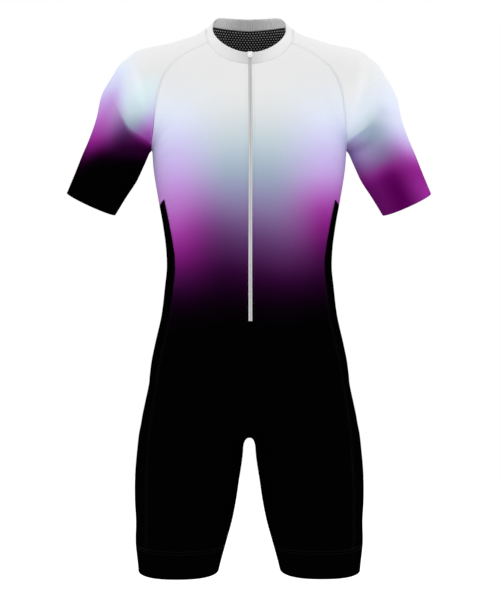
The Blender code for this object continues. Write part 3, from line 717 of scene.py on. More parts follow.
def shell(name, fine, faces, free, normal_at, outside, inside):
    """A thin shell for a cut piece: its edges turn in at the seams, and are rounded where they are free."""
    mesh = bmesh.new()
    source = fine.uv_layers["cloth"].data
    cloth = mesh.loops.layers.uv.new("cloth")
    verts = {}
    for index in faces:
        face = fine.polygons[index]
        for v in face.vertices:
            if v not in verts:
                verts[v] = mesh.verts.new(fine.vertices[v].co)
        made = mesh.faces.new([verts[v] for v in face.vertices])
        for loop, k in zip(made.loops, face.loop_indices):
            loop[cloth].uv = source[k].uv
    hems = {verts[v] for v in free if v in verts}
    faces = mesh.faces[:]
    bmesh.ops.inset_region(mesh, faces=faces, use_boundary=True, use_even_offset=True, thickness=SEAM_ROLL)
    mesh.normal_update()
    rim = {v: None for v in mesh.verts if any(e.is_boundary for e in v.link_edges)}  # kept in order
    normals = {v: normal_at(v.co) for v in mesh.verts}
    for v in rim:
        into = sum((f.calc_center_median() - v.co for f in v.link_faces), Vector())
        into = (into - normals[v] * into.dot(normals[v])).normalized()
        if v in hems:
            v.co -= normals[v] * EDGE_ROLL
        else:
            v.co += into * (SEAM_GAP / 2) - normals[v] * SEAM_DIP
            if abs(v.co.x) < BESIDE_ZIP and v.co.y < 0 and v.co.z > ZIP_END - 0.001:
                v.co.x = math.copysign(min(abs(v.co.x), ZIP_SHOWN), v.co.x)
    border = [e for e in mesh.edges if e.is_boundary]
    outer = mesh.faces[:]
    inner = {}
    for v in list(normals):
        thinner = (2 * EDGE_ROLL if v in hems else SEAM_DIP) if v in rim else 0
        inner[v] = mesh.verts.new(v.co - normals[v] * (KNIT - thinner))
    for face in outer:
        made = mesh.faces.new([inner[v] for v in reversed(face.verts)])
        made.material_index = 1
        for loop, old in zip(made.loops, reversed(face.loops)):
            loop[cloth].uv = old[cloth].uv
    for edge in border:
        loop = edge.link_loops[0]
        a, b = loop.vert, loop.link_loop_next.vert
        made = mesh.faces.new([b, a, inner[a], inner[b]])
        here, there = loop[cloth].uv, loop.link_loop_next[cloth].uv
        for new, uv in zip(made.loops, (there, here, here, there)):
            new[cloth].uv = uv
    return finished(name, baked(name, mesh), outside, inside)


# ---- materials


def srgb(red, green, blue):
    """A colour named by its 0 to 255 values, as the shader takes it."""
    shares = (red / 255, green / 255, blue / 255)
    return tuple(c / 12.92 if c < 11 / 255 else ((c + 0.055) / 1.055) ** 2.4 for c in shares)


def stops(heights, colours):
    """A fade's colours by their heights in millimetres above the hems, from below."""
    return [(int(height) / 1000, COLOURS[name]) for height, name in zip(heights.split(), colours.split())]


WHITE, BLACK = srgb(230, 230, 230), srgb(2, 2, 2)
COLOURS = dict(
    white=WHITE, pale=srgb(221, 231, 245), aqua=srgb(212, 235, 240), mist=srgb(195, 211, 217),
    slate=srgb(150, 168, 188), lavender=srgb(201, 199, 236), lilac=srgb(190, 158, 220),
    orchid=srgb(174, 98, 186), magenta=srgb(148, 42, 146), cerise=srgb(134, 30, 130),
    wine=srgb(106, 18, 102), aubergine=srgb(84, 0, 80), mauve=srgb(140, 128, 170),
    heather=srgb(124, 98, 148), purple=srgb(102, 64, 120), grape=srgb(80, 42, 96), plum=srgb(60, 12, 64),
    night=srgb(18, 0, 20), black=BLACK,
)
# The trunk's fade, down its middle and down its sides
MIDDLE_FADE = stops(
    "410 450 494 538 590 640 686 739 795 860",
    "black black night plum purple mauve slate mist white white",
)
SIDE_FADE = stops(
    "410 450 488 525 562 607 643 682 735 780 830 880",
    "black black night plum wine magenta orchid lilac lavender pale white white",
)
# On each sleeve: down its middle, and down its edges. It ends higher on the wearer's right
SLEEVE_FADES = {
    "right": (
        stops(
            "680 701 718 734 751 768 785 803 826 862 890",
            "black black night plum grape heather slate mist aqua white white",
        ),
        stops(
            "685 705 722 737 752 770 788 803 830 862 890",
            "black black night wine magenta orchid lilac lavender pale white white",
        ),
    ),
    "left": (
        stops(
            "640 682 701 718 735 752 770 786 806 850 890",
            "aubergine aubergine cerise heather mauve slate slate mist pale white white",
        ),
        stops(
            "640 670 690 708 725 742 760 788 850 890",
            "magenta magenta cerise magenta orchid lilac lavender pale white white",
        ),
    ),
}
# Below, a pair is two places. What follows it are the values there, between which there is a soft change
MOTTLING = 0.03  # how far up and down the fade drifts
MIDDLE_TO_SIDE = (0.028, 0.125)  # distance aside
# Slope of the fade by height: down to the wearer's left in the middle, and to the right at the sides
LEAN = (0.57, 0.70, 0.20, 0.0)
LEAN_BELOW = (0.44, 0.57, 0.3, 1.0)  # the part of it that is left farther down
# A sleeve's middle: how far aside it is at a height, and how much farther a metre lower
SLEEVE_MIDDLE = (0.1688, 0.8425, 0.456)
SLEEVE_HALF_WIDTH = 0.045
# Where the edges' colours come in, in half widths of the sleeve from its middle
OUTER_EDGE = (-0.12, 1.08)
INNER_EDGE = {"right": (-0.95, -0.15, 0.9, 0.0), "left": (-0.95, -0.15, 0.25, 0.0)}
LONGER_ABOUT, LONGER = 0.746, 0.33  # at the right sleeve's outer edge the fade is drawn out about a height
# The fold that rises from each armpit, as two lines: slope by the distance aside, and height at the middle.
# The sleeve's fade steps across it: partly the print's edge, partly painted shade, darker under the fold and
# lighter above it
FOLD_LINES = {"right": ((0.567, 0.6426), (2.2, 0.3130)), "left": ((0.725, 0.6185), (2.5, 0.2402))}
FOLD_SOFTNESS = 0.02
FOLD_STEP = (-0.002, 0.007)  # height over the fold
# Above it the fade is pushed down, by the distance aside, so that the colour there is lighter: partly the
# print, partly painted light over the fold
ABOVE_FOLD = {"right": (0.200, 0.222, 0.012, 0.0), "left": (0.162, 0.214, 0.040, 0.0)}
# Under the right fold the fade is pushed up, darker, as painted shade: by the height over it, the height, and
# the distance aside
UP_RIGHT = (0.003, -0.010), (0.712, 0.735), (0.205, 0.238, 0.010, 0.0)
# On the left it is pushed farther down near the armpit, and up on the shoulder, where it paints a darker
# streak of shade up from the crease: by height, and distance aside
DOWN_LEFT = (0.74, 0.71), (0.19, 0.24, 0.016, 0.0)
UP_LEFT = (0.770, 0.795), (0.203, 0.225, 0.0, 0.014)
CLOTH_SHINE = dict(specular_ior_level=0.0)
THREAD_SHINE = dict(specular_ior_level=0.2, sheen_weight=0.05)
CLOTH_ROUGHNESS = (0.2, 0.8, 0.70, 0.80)
LOOP_DEPTH, DOT_DEPTH, FINE_DEPTH = 0.00012, 0.0003, 0.0001
LOOP_PITCH, BAND_PITCH = 0.0011, 0.0016
GRAIN = 0.012  # how much darker and lighter the cloth is from place to place
DOT_PITCH, DOT_RISE, DOT_RADIUS = 0.0051, 0.0044, 0.0013
TWILL, WEFT = 7000.0, 9000.0  # radians to a metre


def operation(kind):
    return lambda value, *others: value.nodes.math(kind, value, *others)


class Value:
    """A number that a material's nodes work out at each point. Arithmetic with it adds math nodes."""

    def __init__(self, nodes, socket):
        self.nodes, self.socket = nodes, socket

    def __rsub__(self, other):
        return self.nodes.math("SUBTRACT", other, self)

    __add__, __sub__ = operation("ADD"), operation("SUBTRACT")
    __mul__, __truediv__ = operation("MULTIPLY"), operation("DIVIDE")
    __abs__, times_plus = operation("ABSOLUTE"), operation("MULTIPLY_ADD")
    sine, cosine, root = operation("SINE"), operation("COSINE"), operation("SQRT")
    floor, part, modulo = operation("FLOOR"), operation("FRACT"), operation("MODULO")
    angle, larger = operation("ARCTAN2"), operation("MAXIMUM")
    softly_larger = operation("SMOOTH_MAX")

    def smooth(self, low, high, start=0.0, end=1.0):
        """From the start to the end, softly, as this number goes from low to high."""
        node = self.nodes.add("MapRange", self, low, high, start, end, interpolation_type="SMOOTHSTEP")
        return Value(self.nodes, node.outputs[0])


class Nodes:
    """A material's node tree, built a node at a time. An input takes a link, a colour or a number."""

    def __init__(self, name, **own):
        self.material = bpy.data.materials.new(name)
        self.material.use_nodes = True
        self.tree = self.material.node_tree
        self.shader = self.tree.nodes["Principled BSDF"]
        for key, value in own.items():
            self.shader.inputs[key.replace("_", " ").title().replace("Ior", "IOR")].default_value = value

    def add(self, kind, *inputs, **settings):
        node = self.tree.nodes.new("ShaderNode" + kind)
        for key, value in settings.items():
            setattr(node, key, value)
        for slot, value in zip(node.inputs, inputs):
            self.give(slot, value)
        return node

    def give(self, slot, value):
        if isinstance(value, Value):
            self.tree.links.new(value.socket, slot)
        elif isinstance(value, bpy.types.NodeSocket):
            self.tree.links.new(value, slot)
        else:
            slot.default_value = value

    def fill(self, node, values):
        for name, value in values.items():
            self.give(node.inputs[name], value)
        return node

    def math(self, operation, *inputs):
        return Value(self, self.add("Math", *inputs, operation=operation).outputs[0])

    def mixed(self, factor, first, second):
        node = self.add("Mix", data_type="RGBA")
        for key, value in (("Factor_Float", factor), ("A_Color", first), ("B_Color", second)):
            slot = next(i for i in node.inputs if i.identifier == key)
            self.give(slot, (*value, 1) if isinstance(value, tuple) else value)
        return next(o for o in node.outputs if o.identifier == "Result_Color")

    def scaled(self, colour, by):
        return self.fill(self.add("VectorMath", colour, operation="SCALE"), {"Scale": by}).outputs[0]

    def place(self):
        """The point of the suit, with its height above the hems."""
        here = self.add("TexCoord").outputs["Object"]
        return self.add("VectorMath", here, (0, 0, NECK_HEIGHT), operation="ADD").outputs[0]

    def laid(self):
        """The point of the cloth as it lies flat."""
        return self.add("UVMap", uv_map="cloth").outputs["UV"]

    def split(self, where):
        return [Value(self, part) for part in self.add("SeparateXYZ", where).outputs]

    def noise(self, where, scale, detail=2.0):
        node = self.fill(self.add("TexNoise"), {"Vector": where, "Scale": scale, "Detail": detail})
        return Value(self, node.outputs["Fac"])

    def ramp(self, value, colours):
        """Colours by a value in metres. The stops are spread over the ramp's own range."""
        low, high = colours[0][0], colours[-1][0]
        node = self.add("ValToRGB", (value - low) / (high - low))
        node.color_ramp.interpolation = "B_SPLINE"
        dots = node.color_ramp.elements
        while len(dots) < len(colours):
            dots.new(0.5)
        for dot, (at, colour) in zip(dots, colours):
            dot.position, dot.color = (at - low) / (high - low), (*colour, 1)
        return node.outputs["Color"]

    def dressed(self, colour, roughness, relief, distance, strength):
        """The finished material, with its relief."""
        bump = self.fill(self.add("Bump"), {"Strength": strength, "Distance": distance, "Height": relief})
        self.fill(self.shader, {"Base Color": colour, "Normal": bump.outputs[0], "Roughness": roughness})
        return self.material


def fade(nodes):
    """The printed fade by the place on the suit: white shoulders, then pale aqua and violet, then black."""
    where = nodes.place()
    x, _, height = nodes.split(where)
    height = height + (nodes.noise(where, scale=5.0, detail=1.0) - 0.5) * MOTTLING
    lean = x * height.smooth(*LEAN) * height.smooth(*LEAN_BELOW)
    middle, side = nodes.ramp(height + lean, MIDDLE_FADE), nodes.ramp(height - lean, SIDE_FADE)
    return nodes.mixed(abs(x).smooth(*MIDDLE_TO_SIDE), middle, side)


def fold_shade_and_print(side, aside, height):
    """How far a sleeve's fade is pushed down above the fold from the armpit, and up or down beside it: partly
    the print, partly painted shade and light of the fold.
    """
    flat, steep = (aside.times_plus(slope, base) for slope, base in FOLD_LINES[side])
    over = height - flat.softly_larger(steep, FOLD_SOFTNESS)
    down = over.smooth(*FOLD_STEP) * aside.smooth(*ABOVE_FOLD[side])
    if side == "left":
        down = down + height.smooth(*DOWN_LEFT[0]) * aside.smooth(*DOWN_LEFT[1])
        return down - height.smooth(*UP_LEFT[0]) * aside.smooth(*UP_LEFT[1])
    under, level, near = UP_RIGHT
    return down - over.smooth(*under) * height.smooth(*level) * aside.smooth(*near)


def sleeve_fade(nodes, side):
    """The fade on a sleeve: its edges turn violet, and run out longer on the outer side."""
    where = nodes.place()
    x, _, z = nodes.split(where)
    height = z + (nodes.noise(where, scale=9.0, detail=1.0) - 0.5) * MOTTLING
    aside, level, slope = SLEEVE_MIDDLE
    across = (abs(x) - (level - z).times_plus(slope, aside)) / SLEEVE_HALF_WIDTH
    outer, inner = across.smooth(*OUTER_EDGE), across.smooth(*INNER_EDGE[side])
    longer = (height - LONGER_ABOUT) * (outer * LONGER)
    # Painted shade and light of the fold from the armpit, together with the print's own step there
    height = height + fold_shade_and_print(side, abs(x), z)
    core, edge = SLEEVE_FADES[side]
    edge = nodes.ramp(height - longer if side == "right" else height, edge)
    return nodes.mixed(outer.larger(inner), nodes.ramp(height, core), edge)


def knitted(nodes, colour, pitch=LOOP_PITCH):
    """Fine jersey: columns of small loops along the cloth, and a faint uneven grain in its colour."""
    x, y, _ = nodes.split(nodes.laid())
    column = x * (2 * math.pi / pitch)
    slant = abs((column * 0.5).sine()) * 2.4
    row = y * (2 * math.pi / (0.85 * pitch)) + slant
    loops = row.sine().times_plus(0.5, column.cosine())
    cloudy = nodes.noise(nodes.place(), scale=420.0, detail=3.0)
    shade = cloudy.smooth(0.3, 0.7, 1 - GRAIN, 1 + GRAIN) * loops.smooth(-1.2, 0.4, 1 - GRAIN, 1.0)
    colour, roughness = nodes.scaled(colour, shade), cloudy.smooth(*CLOTH_ROUGHNESS)
    return nodes.dressed(colour, roughness, cloudy.times_plus(1.5, loops), LOOP_DEPTH, strength=0.35)


def plain_colour(nodes, colour):
    """A colour with a faint drift over the piece, so that it is nowhere flat."""
    return nodes.scaled(colour, nodes.noise(nodes.place(), scale=14.0).smooth(0.3, 0.7, 0.96, 1.04))


def printed(name, part="trunk", inside=False):
    nodes = Nodes(name, **CLOTH_SHINE)
    colour = fade(nodes) if part == "trunk" else sleeve_fade(nodes, part)
    if inside:
        colour = nodes.mixed(0.35, colour, srgb(120, 120, 124))
    return knitted(nodes, colour)


def dotted_mesh(name):
    """Black mesh with rows of small open dots, staggered, through which the pale front shows."""
    nodes = Nodes(name, **CLOTH_SHINE)
    laid = nodes.laid()
    x, y, _ = nodes.split(laid)
    row = y / DOT_RISE
    line = row.floor()
    column = x / DOT_PITCH + abs(line).modulo(2.0) * 0.5
    dx = (column.part() - 0.5) * DOT_PITCH
    dy = (row - line - 0.5) * DOT_RISE
    dot = (dx * dx + dy * dy).root().smooth(0.7 * DOT_RADIUS, 1.25 * DOT_RADIUS, 1.0, 0.0)
    colour = nodes.mixed(dot, srgb(6, 6, 7), srgb(176, 176, 178))
    roughness = nodes.noise(laid, scale=900.0).smooth(0.2, 0.8, 0.7, 0.85)
    return nodes.dressed(colour, roughness, 1.0 - dot, DOT_DEPTH, strength=0.6)


def solid_knit(name, colour, pitch=LOOP_PITCH):
    nodes = Nodes(name, **CLOTH_SHINE)
    return knitted(nodes, plain_colour(nodes, colour), pitch)


def collar_knit(name, colour, inside=False):
    """The collar's cloth, with painted shade: darker towards the centre front, beside the zip. Inside,
    painted shade lies in the valleys between its gathers, and is deeper towards the middle than at the sides.
    """
    nodes = Nodes(name, **CLOTH_SHINE)
    x, y, _ = nodes.split(nodes.place())
    if inside:
        # Painted shade: darker in the valleys between the gathers, and towards the middle of the collar
        lines = (x.angle(y * -1.0) * GATHERS).sine()
        shade = lines.smooth(-1.0, 0.6, 0.80, 0.98) * abs(x).smooth(0.01, 0.055, 1.0, 1.25)
    else:
        # Painted shade: darker towards the centre front, beside the zip
        shade = (abs(x) + y.smooth(-0.05, -0.03, 0.0, 0.04)).smooth(-0.012, 0.056, 0.74, 1.0)
    return knitted(nodes, nodes.scaled(plain_colour(nodes, colour), shade))


def thread(name, colour, fading=0.0):
    """Twisted sewing thread: fine slanting lines in its bump and colour. A fading one takes on the print."""
    nodes = Nodes(name, **THREAD_SHINE)
    if fading:
        colour = nodes.mixed(fading, fade(nodes), BLACK)
    wave = nodes.add("TexWave", nodes.place(), bands_direction="DIAGONAL")
    twist = Value(nodes, nodes.fill(wave, {"Scale": 900.0, "Distortion": 1.0}).outputs["Fac"])
    colour = nodes.scaled(colour, twist.smooth(0.0, 1.0, 0.85, 1.0))
    return nodes.dressed(colour, twist.smooth(0.0, 1.0, 0.6, 0.8), twist, FINE_DEPTH, strength=0.4)


def woven_tape(name, colour):
    """The zip's tape: a close twill, its lines slanting across the strip."""
    nodes = Nodes(name, **THREAD_SHINE)
    x, _, height = nodes.split(nodes.place())
    weave = ((height + x * 0.8) * TWILL).sine() + (x * WEFT).sine() * 0.6
    colour = nodes.scaled(plain_colour(nodes, colour), weave.smooth(-1.6, 1.2, 0.9, 1.02))
    return nodes.dressed(colour, weave.smooth(-1.6, 1.6, 0.6, 0.75), weave, FINE_DEPTH, strength=0.4)


def enamel(name, colour):
    """Painted metal: smooth, a little uneven, and rubbed darker here and there."""
    nodes = Nodes(name, coat_weight=0.3, coat_roughness=0.15)
    where = nodes.place()
    spots = nodes.noise(where, scale=900.0, detail=3.0)
    colour = nodes.mixed(nodes.noise(where, scale=350.0).smooth(0.62, 0.75), colour, srgb(205, 205, 206))
    return nodes.dressed(colour, spots.smooth(0.2, 0.8, 0.28, 0.4), spots, FINE_DEPTH, strength=0.15)


# ---- the collar, the zip and the sewing

COLLAR_POINTS, COLLAR_LEVELS = 720, 12
COLLAR_CLOTH = 0.0013
COLLAR_BELLY = 0.0005  # how far it swells between its seam and its edge
EDGE_START, EDGE_PART = 0.9, 0.1  # the part of its height over which the edge is rounded
# How much higher the collar's top edge stands, by the turn from the front
BACK_EDGE = table(
    "turn rise",
    (0, 0), (88, 0), (108, 2.6), (125, 3.6), (138, 2.1), (156, 0.3), (180, -1),
)
GATHER_DEPTH = 0.00070  # of the small pleats on the collar's inner face, behind
GATHERS = 128  # pleats round the whole collar
ZIP_STEP = 0.0016
ZIP_SHOWN = 0.0029  # half the width of the tape that shows between the edges of the cloth
TAPE = 0.0005  # its thickness beside the rib
# The zip's section: half of it from the centre out, across and out from the face of the cloth
ZIP_SECTION = table(
    "across out",
    (0, -0.6), (0.22, -0.55), (0.34, 0.3), (0.6, 0.52), (1.2, 0.58), (1.8, 0.4), (2.25, 0.12), (2.7, -0.05),
    (3.1, -0.4), (3.45, -1.25), (5.6, -1.45),
)


def collar_grid(foot):
    """The collar's outer face from the fine neck seam up. Columns go round from the right to the left."""
    turns = np.linspace(-math.pi, math.pi, COLLAR_POINTS + 1)
    at = np.arctan2(foot[:, 0], -foot[:, 1])
    order = np.argsort(at)
    ring, at = foot[order], at[order]
    ring = np.concatenate([ring[-1:], ring, ring[:1]])
    at = np.concatenate([at[-1:] - 2 * math.pi, at, at[:1] + 2 * math.pi])
    low = spots(ring, at, turns)
    high = collar_top(np.abs(turns)) * np.stack([np.sign(turns), *np.ones((2, len(turns)))], axis=1)
    high[:, 2] += read(BACK_EDGE, "rise", np.degrees(np.abs(turns)))
    levels = np.linspace(0, 1, COLLAR_LEVELS + 1)[:, None, None]
    return low + (high - low) * levels, turns


def collar(name, foot, outside, inside):
    """The stand collar, open where the zip is, with a rounded top and small pleats inside, behind."""
    grid, turns = collar_grid(foot)
    out = unit(np.cross(unit(np.gradient(grid[0], axis=0)), unit(grid[-1] - grid[0])))
    levels = np.linspace(0, 1, COLLAR_LEVELS + 1)[:, None]
    # The pleats begin beside the neck and are full behind it. Their depth varies a little
    behind = np.clip(np.abs(turns) / math.pi * 2.2 - 0.9, 0, 1) ** 0.7
    pleats = GATHER_DEPTH * behind * np.sin(GATHERS * turns) * (0.75 + 0.25 * np.sin(17.0 * turns + 1.0))
    pleats = pleats[None] * np.sin(np.pi * np.clip(levels * 0.9 + 0.08, 0, 1)) ** 0.5
    belly = COLLAR_BELLY * np.sin(np.pi * levels) * np.ones_like(turns)[None]
    near_top = np.clip((levels - EDGE_START) / EDGE_PART, 0, 1)
    turn_in = 0.5 * COLLAR_CLOTH * (1 - np.sqrt(np.clip(1 - near_top**2, 0, 1)))
    outer = grid + (belly - turn_in)[..., None] * out[None] + 0.15 * pleats[..., None] * out[None]
    inner = grid + (belly - COLLAR_CLOTH + turn_in)[..., None] * out[None] + pleats[..., None] * out[None]
    outer[0] -= SEAM_DIP * out
    middles = (grid[0, :-1, 0] + grid[0, 1:, 0]) / 2
    clear_of_zip = (np.abs(middles) > ZIP_SHOWN - 0.0004) | (grid[0, :-1, 1] > 0)
    return band(name, [outer, inner], np.flatnonzero(clear_of_zip).tolist(), (outside, inside))


def band(name, faces, columns, materials):
    """A closed strip between an outer and an inner grid, over the given columns."""
    outer = faces[0]
    mesh = bmesh.new()
    cloth = mesh.loops.layers.uv.new("cloth")
    across = lengths(outer[0])
    along = rises(outer)
    made = {}

    def corner(key):
        if key not in made:
            made[key] = mesh.verts.new(faces[key[0]][key[1:]])
        return made[key]

    def face(keys, slot=0):
        new = mesh.faces.new([corner(key) for key in keys])
        new.material_index = slot
        for loop, (_, i, j) in zip(new.loops, keys):
            loop[cloth].uv = across[j], along[i]

    top = len(outer) - 1
    for j in columns:
        for i in range(top):
            face([(0, i, j), (0, i, j + 1), (0, i + 1, j + 1), (0, i + 1, j)])
            face([(1, i, j), (1, i + 1, j), (1, i + 1, j + 1), (1, i, j + 1)], 1)
        face([(0, top, j), (0, top, j + 1), (1, top, j + 1), (1, top, j)])
        face([(0, 0, j + 1), (0, 0, j), (1, 0, j), (1, 0, j + 1)])
        for beside, edge in ((j - 1, j), (j + 1, j + 1)):
            if beside not in columns:
                for i in range(top):
                    keys = [(0, i, edge), (0, i + 1, edge), (1, i + 1, edge), (1, i, edge)]
                    face(keys if edge == j else keys[::-1])
    bmesh.ops.remove_doubles(mesh, verts=mesh.verts, dist=1e-6)
    bmesh.ops.recalc_face_normals(mesh, faces=mesh.faces)
    return finished(name, baked(name, mesh), *materials)


def middle_line(surface):
    """The line down the centre front from the collar's top to the zip's end, with its ways and normals."""
    trunk = surface["trunk"][:, 0]
    below = trunk[trunk[:, 2] > ZIP_END - 0.03]
    line = curved(np.concatenate([below, surface["centre"][1:, 0], surface["collar"][1:, 0]]), 1200)
    body = line[:, 2] < surface["centre"][-1, 0, 2] - 0.002
    line[body] = settled(line[body])
    line[:, 0] = 0
    line = line[line[:, 2] >= ZIP_END - 0.0005][::-1]
    line = divided(line, (int(lengths(line)[-1] / ZIP_STEP),))
    down = unit(np.gradient(line, axis=0))
    return line, down, np.cross(down, X)


def zip_strip(name, line, out, tape):
    """The closed zip: two tapes, each with a soft rib over its hidden coil, that meet in a groove."""
    across = np.concatenate([-ZIP_SECTION["across"][:0:-1], ZIP_SECTION["across"]])
    height = np.concatenate([ZIP_SECTION["out"][:0:-1], ZIP_SECTION["out"]])
    outer = line[:, None] + across[None, :, None] * X + height[None, :, None] * out[:, None]
    inner = outer - (TAPE + np.clip(height + 0.0008, 0, 1))[None, :, None] * out[:, None]
    return band(name, [outer[::-1], inner[::-1]], list(range(len(across) - 1)), (tape, tape))


def grains(name, places, ways, outs, finish):
    """Many small stitches in one mesh. Each lies along its way, and its ends dip into the cloth."""
    ways = unit(ways - (ways * outs).sum(-1, keepdims=True) * outs)
    end = ways * THREAD_LONG / 2
    aside = np.cross(ways, outs) * THREAD_WIDE / 2
    low = places - outs * 0.25 * THREAD_HIGH
    corners = [low + end, places + aside, places + outs * THREAD_HIGH, places - aside, low - end]
    verts = np.stack(corners, axis=1).reshape(-1, 3)
    base = 5 * np.arange(len(places))[:, None, None]
    cap = np.array([(0, 2, 1), (0, 3, 2), (4, 1, 2), (4, 2, 3)])
    data = bpy.data.meshes.new(name)
    data.from_pydata(verts.tolist(), [], (base + cap[None]).reshape(-1, 3).tolist())
    return finished(name, data, finish)


def chained(edges):
    """Lists of vertices that follow one another along the given edges."""
    beside = {}
    for a, b in edges:
        beside.setdefault(a, []).append(b)
        beside.setdefault(b, []).append(a)
    lines = []
    while beside:
        start = next((v for v in beside if len(beside[v]) == 1), next(iter(beside)))
        line = [start]
        while beside.get(line[-1]):
            here = line[-1]
            there = beside[here].pop()
            beside[there].remove(here)
            if not beside[here]:
                del beside[here]
            line.append(there)
        if not beside.get(line[-1]):
            beside.pop(line[-1], None)
        lines.append(line)
    return lines


def neighbours(fine):
    """The marks of the faces beside each edge of the fine face."""
    owner, found = marks(fine), {}
    for face in fine.polygons:
        for edge in face.edge_keys:
            found.setdefault(edge, []).append(owner[face.index])
    return found


def seams(beside):
    """The lines along which pieces meet, by the two pieces' names."""
    found = {}
    for edge, pair in beside.items():
        if len(pair) == 2 and pair[0] != pair[1]:
            found.setdefault(tuple(sorted(PIECES[mark] for mark in pair)), []).append(edge)
    return {names: chained(edges) for names, edges in found.items()}


def stitched(line, tree, offset):
    """Places, ways and normals of a row of stitches beside a line that lies on the fine face."""
    at = lengths(line)
    count = max(int(at[-1] / STITCH), 2)
    middles = (np.arange(count) + 0.5) * at[-1] / count
    ways = spots(line, at, middles + 0.3 * STITCH) - spots(line, at, middles - 0.3 * STITCH)
    places, outs = [], []
    for p, way in zip(spots(line, at, middles), ways):
        _, normal, _, _ = tree.find_nearest(Vector(p))
        beside = Vector(way).normalized().cross(normal)
        spot, normal, _, _ = tree.find_nearest(Vector(p) + beside * offset)
        places.append(spot)
        outs.append(normal)
    return np.array(places), ways, np.array(outs)


# ---- light and camera

PIXEL = 0.0017  # metres to a pixel of the picture, on the plane through the neck's middle
PICTURE_HEIGHT = 600
CAMERA_DISTANCE = 2.4
CAMERA_HEIGHT = -0.430
CAMERA_ASIDE = 0.0012
CAMERA_TURN = math.radians(1.1)
FLOOR, FLOOR_RADIUS = -1.60, 7.0
SKY = 0.79  # brightness of the surroundings, as they light the suit
# Each lamp's place, what it is aimed at, its width and height, and its watts
LAMPS = {
    "front": ((-0.9, -3.2, 1.3), (0, 0, -0.35), (2.4, 1.8), 6),
    "top": ((0.2, 0.1, 2.2), (0, 0, 0), (1.8, 1.8), 14),
    "back": ((0.4, 3.0, 1.2), (0, 0, -0.3), (2.4, 1.8), 5),
    "left": ((2.9, -0.2, 0.9), (0, 0, -0.1), (1.8, 1.8), 16),
    "right": ((-2.9, -0.2, 0.9), (0, 0, -0.1), (1.8, 1.8), 16),
}


def surroundings(scene):
    """A white studio, brighter to the camera than it lights the suit, with a pale floor."""
    world = bpy.data.worlds.new("studio")
    world.use_nodes = True
    sky = world.node_tree.nodes["Background"]
    sky.inputs["Color"].default_value = (1, 1, 1, 1)
    seen = world.node_tree.nodes.new("ShaderNodeLightPath").outputs["Is Camera Ray"]
    bright = world.node_tree.nodes.new("ShaderNodeMapRange")
    bright.inputs["To Min"].default_value = SKY
    world.node_tree.links.new(seen, bright.inputs["Value"])
    world.node_tree.links.new(bright.outputs[0], sky.inputs["Strength"])
    scene.world = world
    mesh = bmesh.new()
    bmesh.ops.create_circle(mesh, cap_ends=True, segments=96, radius=FLOOR_RADIUS)
    bmesh.ops.translate(mesh, verts=mesh.verts, vec=(0, 0, FLOOR))
    floor = linked("floor", baked("floor", mesh))
    pale = Nodes("pale_floor", roughness=0.9, specular_ior_level=0.0, emission_strength=0.42)
    tone = pale.noise(pale.place(), scale=1.5).smooth(0.3, 0.7, 0.93, 0.95)
    pale.give(pale.shader.inputs["Base Color"], pale.add("CombineColor", tone, tone, tone).outputs[0])
    pale.shader.inputs["Emission Color"].default_value = (1, 1, 1, 1)
    floor.data.materials.append(pale.material)


def studio():
    scene = bpy.context.scene
    scene.view_settings.view_transform = "Standard"
    scene.view_settings.look = "None"
    surroundings(scene)
    for name, (place, aim, size, watts) in LAMPS.items():
        data = bpy.data.lights.new(name, "AREA")
        data.shape, data.size, data.size_y, data.energy = "RECTANGLE", *size, watts
        made = linked(name, data)
        made.location = place
        made.rotation_euler = (Vector(aim) - Vector(place)).to_track_quat("-Z", "Y").to_euler()
    camera = bpy.data.cameras.new("camera")
    camera.sensor_fit, camera.sensor_height = "VERTICAL", 36.0
    camera.lens = camera.sensor_height * CAMERA_DISTANCE / (PICTURE_HEIGHT * PIXEL)
    camera.clip_end = 50.0
    made = linked("camera", camera)
    back = CAMERA_DISTANCE * math.cos(CAMERA_TURN)
    made.location = (CAMERA_ASIDE - CAMERA_DISTANCE * math.sin(CAMERA_TURN), -back, CAMERA_HEIGHT)
    made.rotation_euler = (math.pi / 2, 0, -CAMERA_TURN)
    scene.camera = made


# ---- the suit

# Each kind of piece: its slot, and the box of its cut as it lies flat, width by length, and the cut's area
CUTS = {
    "front": ("printed_knit", (0.560, 0.880), 0.290),
    "back": ("printed_mesh", (0.560, 0.900), 0.307),
    "sleeve": ("printed_knit", (0.340, 0.360), 0.094),
    "side": ("black_knit", (0.135, 0.590), 0.071),
    "leg": ("black_band", (0.470, 0.050), 0.022),
    "collar": ("white_knit", (0.400, 0.030), 0.0092),
    "zip": ("zip_tape", (0.0135, 0.452), 0.0058),
}
THREAD_LONG, THREAD_WIDE, THREAD_HIGH = 0.0022, 0.0007, 0.00028
STITCH = 0.0030
TOPSTITCH = 0.0069  # from the middle of the zip
TACK_HEIGHT = 0.0018  # of the bar tack's middle above the zip's end
# Two pieces that meet, and how far from the seam a row of stitches runs on each side of it
SEWN = (
    ("front", "sleeve", 0.0022),
    ("back", "sleeve", 0.0022),
    ("front", "side_panel", 0.0020),
    ("back", "side_panel", 0.0020),
    ("back", "front", 0.0020),
    ("front", "leg_band", 0.0024),
    ("back", "leg_band", 0.0024),
    ("leg_band", "side_panel", 0.0024),
)

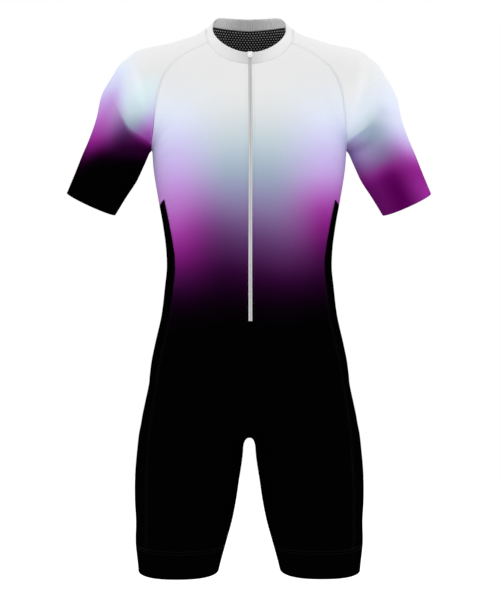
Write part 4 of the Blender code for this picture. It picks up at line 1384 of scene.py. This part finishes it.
finishes = {
    "front": (printed("printed_knit"), printed("printed_knit_inside", inside=True)),
    "back": (printed("printed_mesh"), dotted_mesh("mesh_inside")),
    "sleeve_left": (printed("printed_sleeve_left", "left"), printed("sleeve_left_inside", "left", True)),
    "sleeve_right": (printed("printed_sleeve_right", "right"), printed("sleeve_right_inside", "right", True)),
    "side": (solid_knit("black_knit", BLACK), solid_knit("black_knit_inside", srgb(14, 14, 15))),
    "leg": (solid_knit("black_band", BLACK, BAND_PITCH), solid_knit("band_inside", srgb(16, 16, 17))),
    "collar": (collar_knit("white_knit", WHITE), collar_knit("white_knit_inside", WHITE, inside=True)),
}
tape = woven_tape("zip_tape", srgb(199, 199, 200))
metal = enamel("white_enamel", srgb(242, 242, 243))

surface = grids()
fine = smooth_face(surface)
owner = marks(fine)
points = coordinates(fine)
normals = normals_of(fine)
tree = BVHTree.FromPolygons(points.tolist(), [list(f.vertices) for f in fine.polygons])
near = KDTree(len(points))
for i, p in enumerate(points):
    near.insert(p, i)
near.balance()


def normal_at(place):
    return Vector(normals[near.find(place)[1]])


beside = neighbours(fine)
free = {v for edge, found in beside.items() if len(found) == 1 for v in edge}

pieces = {}
for name in SHELLS:
    faces = np.flatnonzero(owner == PIECES.index(name)).tolist()
    finish = finishes.get(name) or finishes[name.split("_")[0]]
    pieces[name] = shell(name + "_cloth", fine, faces, free, normal_at, *finish)

met = seams(beside)
neck = {v for at, lines in met.items() if "collar" in at and "zip" not in at for line in lines for v in line}
foot = points[sorted(neck)]
line, down, out = middle_line(surface)
pieces["collar"] = collar("collar_cloth", foot, *finishes["collar"])
pieces["zip"] = zip_strip("zip_closed", line, out, tape)

for name, piece in pieces.items():
    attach(piece, "suit")
    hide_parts(name)
    CUTS[name.split("_")[0]][0]

threads = {
    "trunk": thread("thread_printed", WHITE, fading=0.10),
    "front": thread("thread_front", WHITE, fading=0.35),
    "black": thread("thread_black", srgb(10, 10, 11)),
    "white": thread("thread_white", srgb(236, 236, 237)),
}
sewing = {kind: [] for kind in threads}
for names, lines in met.items():
    for first, second, offset in SEWN:
        both = all(any(name.startswith(piece) for name in names) for piece in (first, second))
        if both and "collar" not in names and "zip" not in names:
            kind = "black" if any("band" in name or "panel" in name for name in names) else "trunk"
            for one in lines:
                sewing[kind] += [stitched(points[one], tree, side * offset) for side in (-1, 1)]
            break
below = line[(line[:, 2] < foot[:, 2].min() - 0.001) & (line[:, 2] > ZIP_END + 0.002)]
for side in (-1, 1):
    sewing["front"].append(stitched(below + side * TOPSTITCH * X, tree, 0.0))
tack = line[-1] + np.linspace(-0.8 * ZIP_SHOWN, 0.8 * ZIP_SHOWN, 9)[:, None] * X
tack = tack - TACK_HEIGHT * down[-1] + 0.0004 * out[-1]
sewing["white"].append((tack, np.tile(down[-1], (len(tack), 1)), np.tile(out[-1], (len(tack), 1))))
for kind, rows in sewing.items():
    places, ways, outs = (np.concatenate(part) for part in zip(*rows))
    row = grains("stitches_" + kind, places, ways, outs, threads[kind])
    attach(row, "suit")

studio()
for node in ("zip_slider", "zip_pull"):
    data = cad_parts[node].data
    data.materials.clear()
    data.materials.append(metal)

for name, piece in pieces.items():
    _, flat, area = CUTS[name.split("_")[0]]
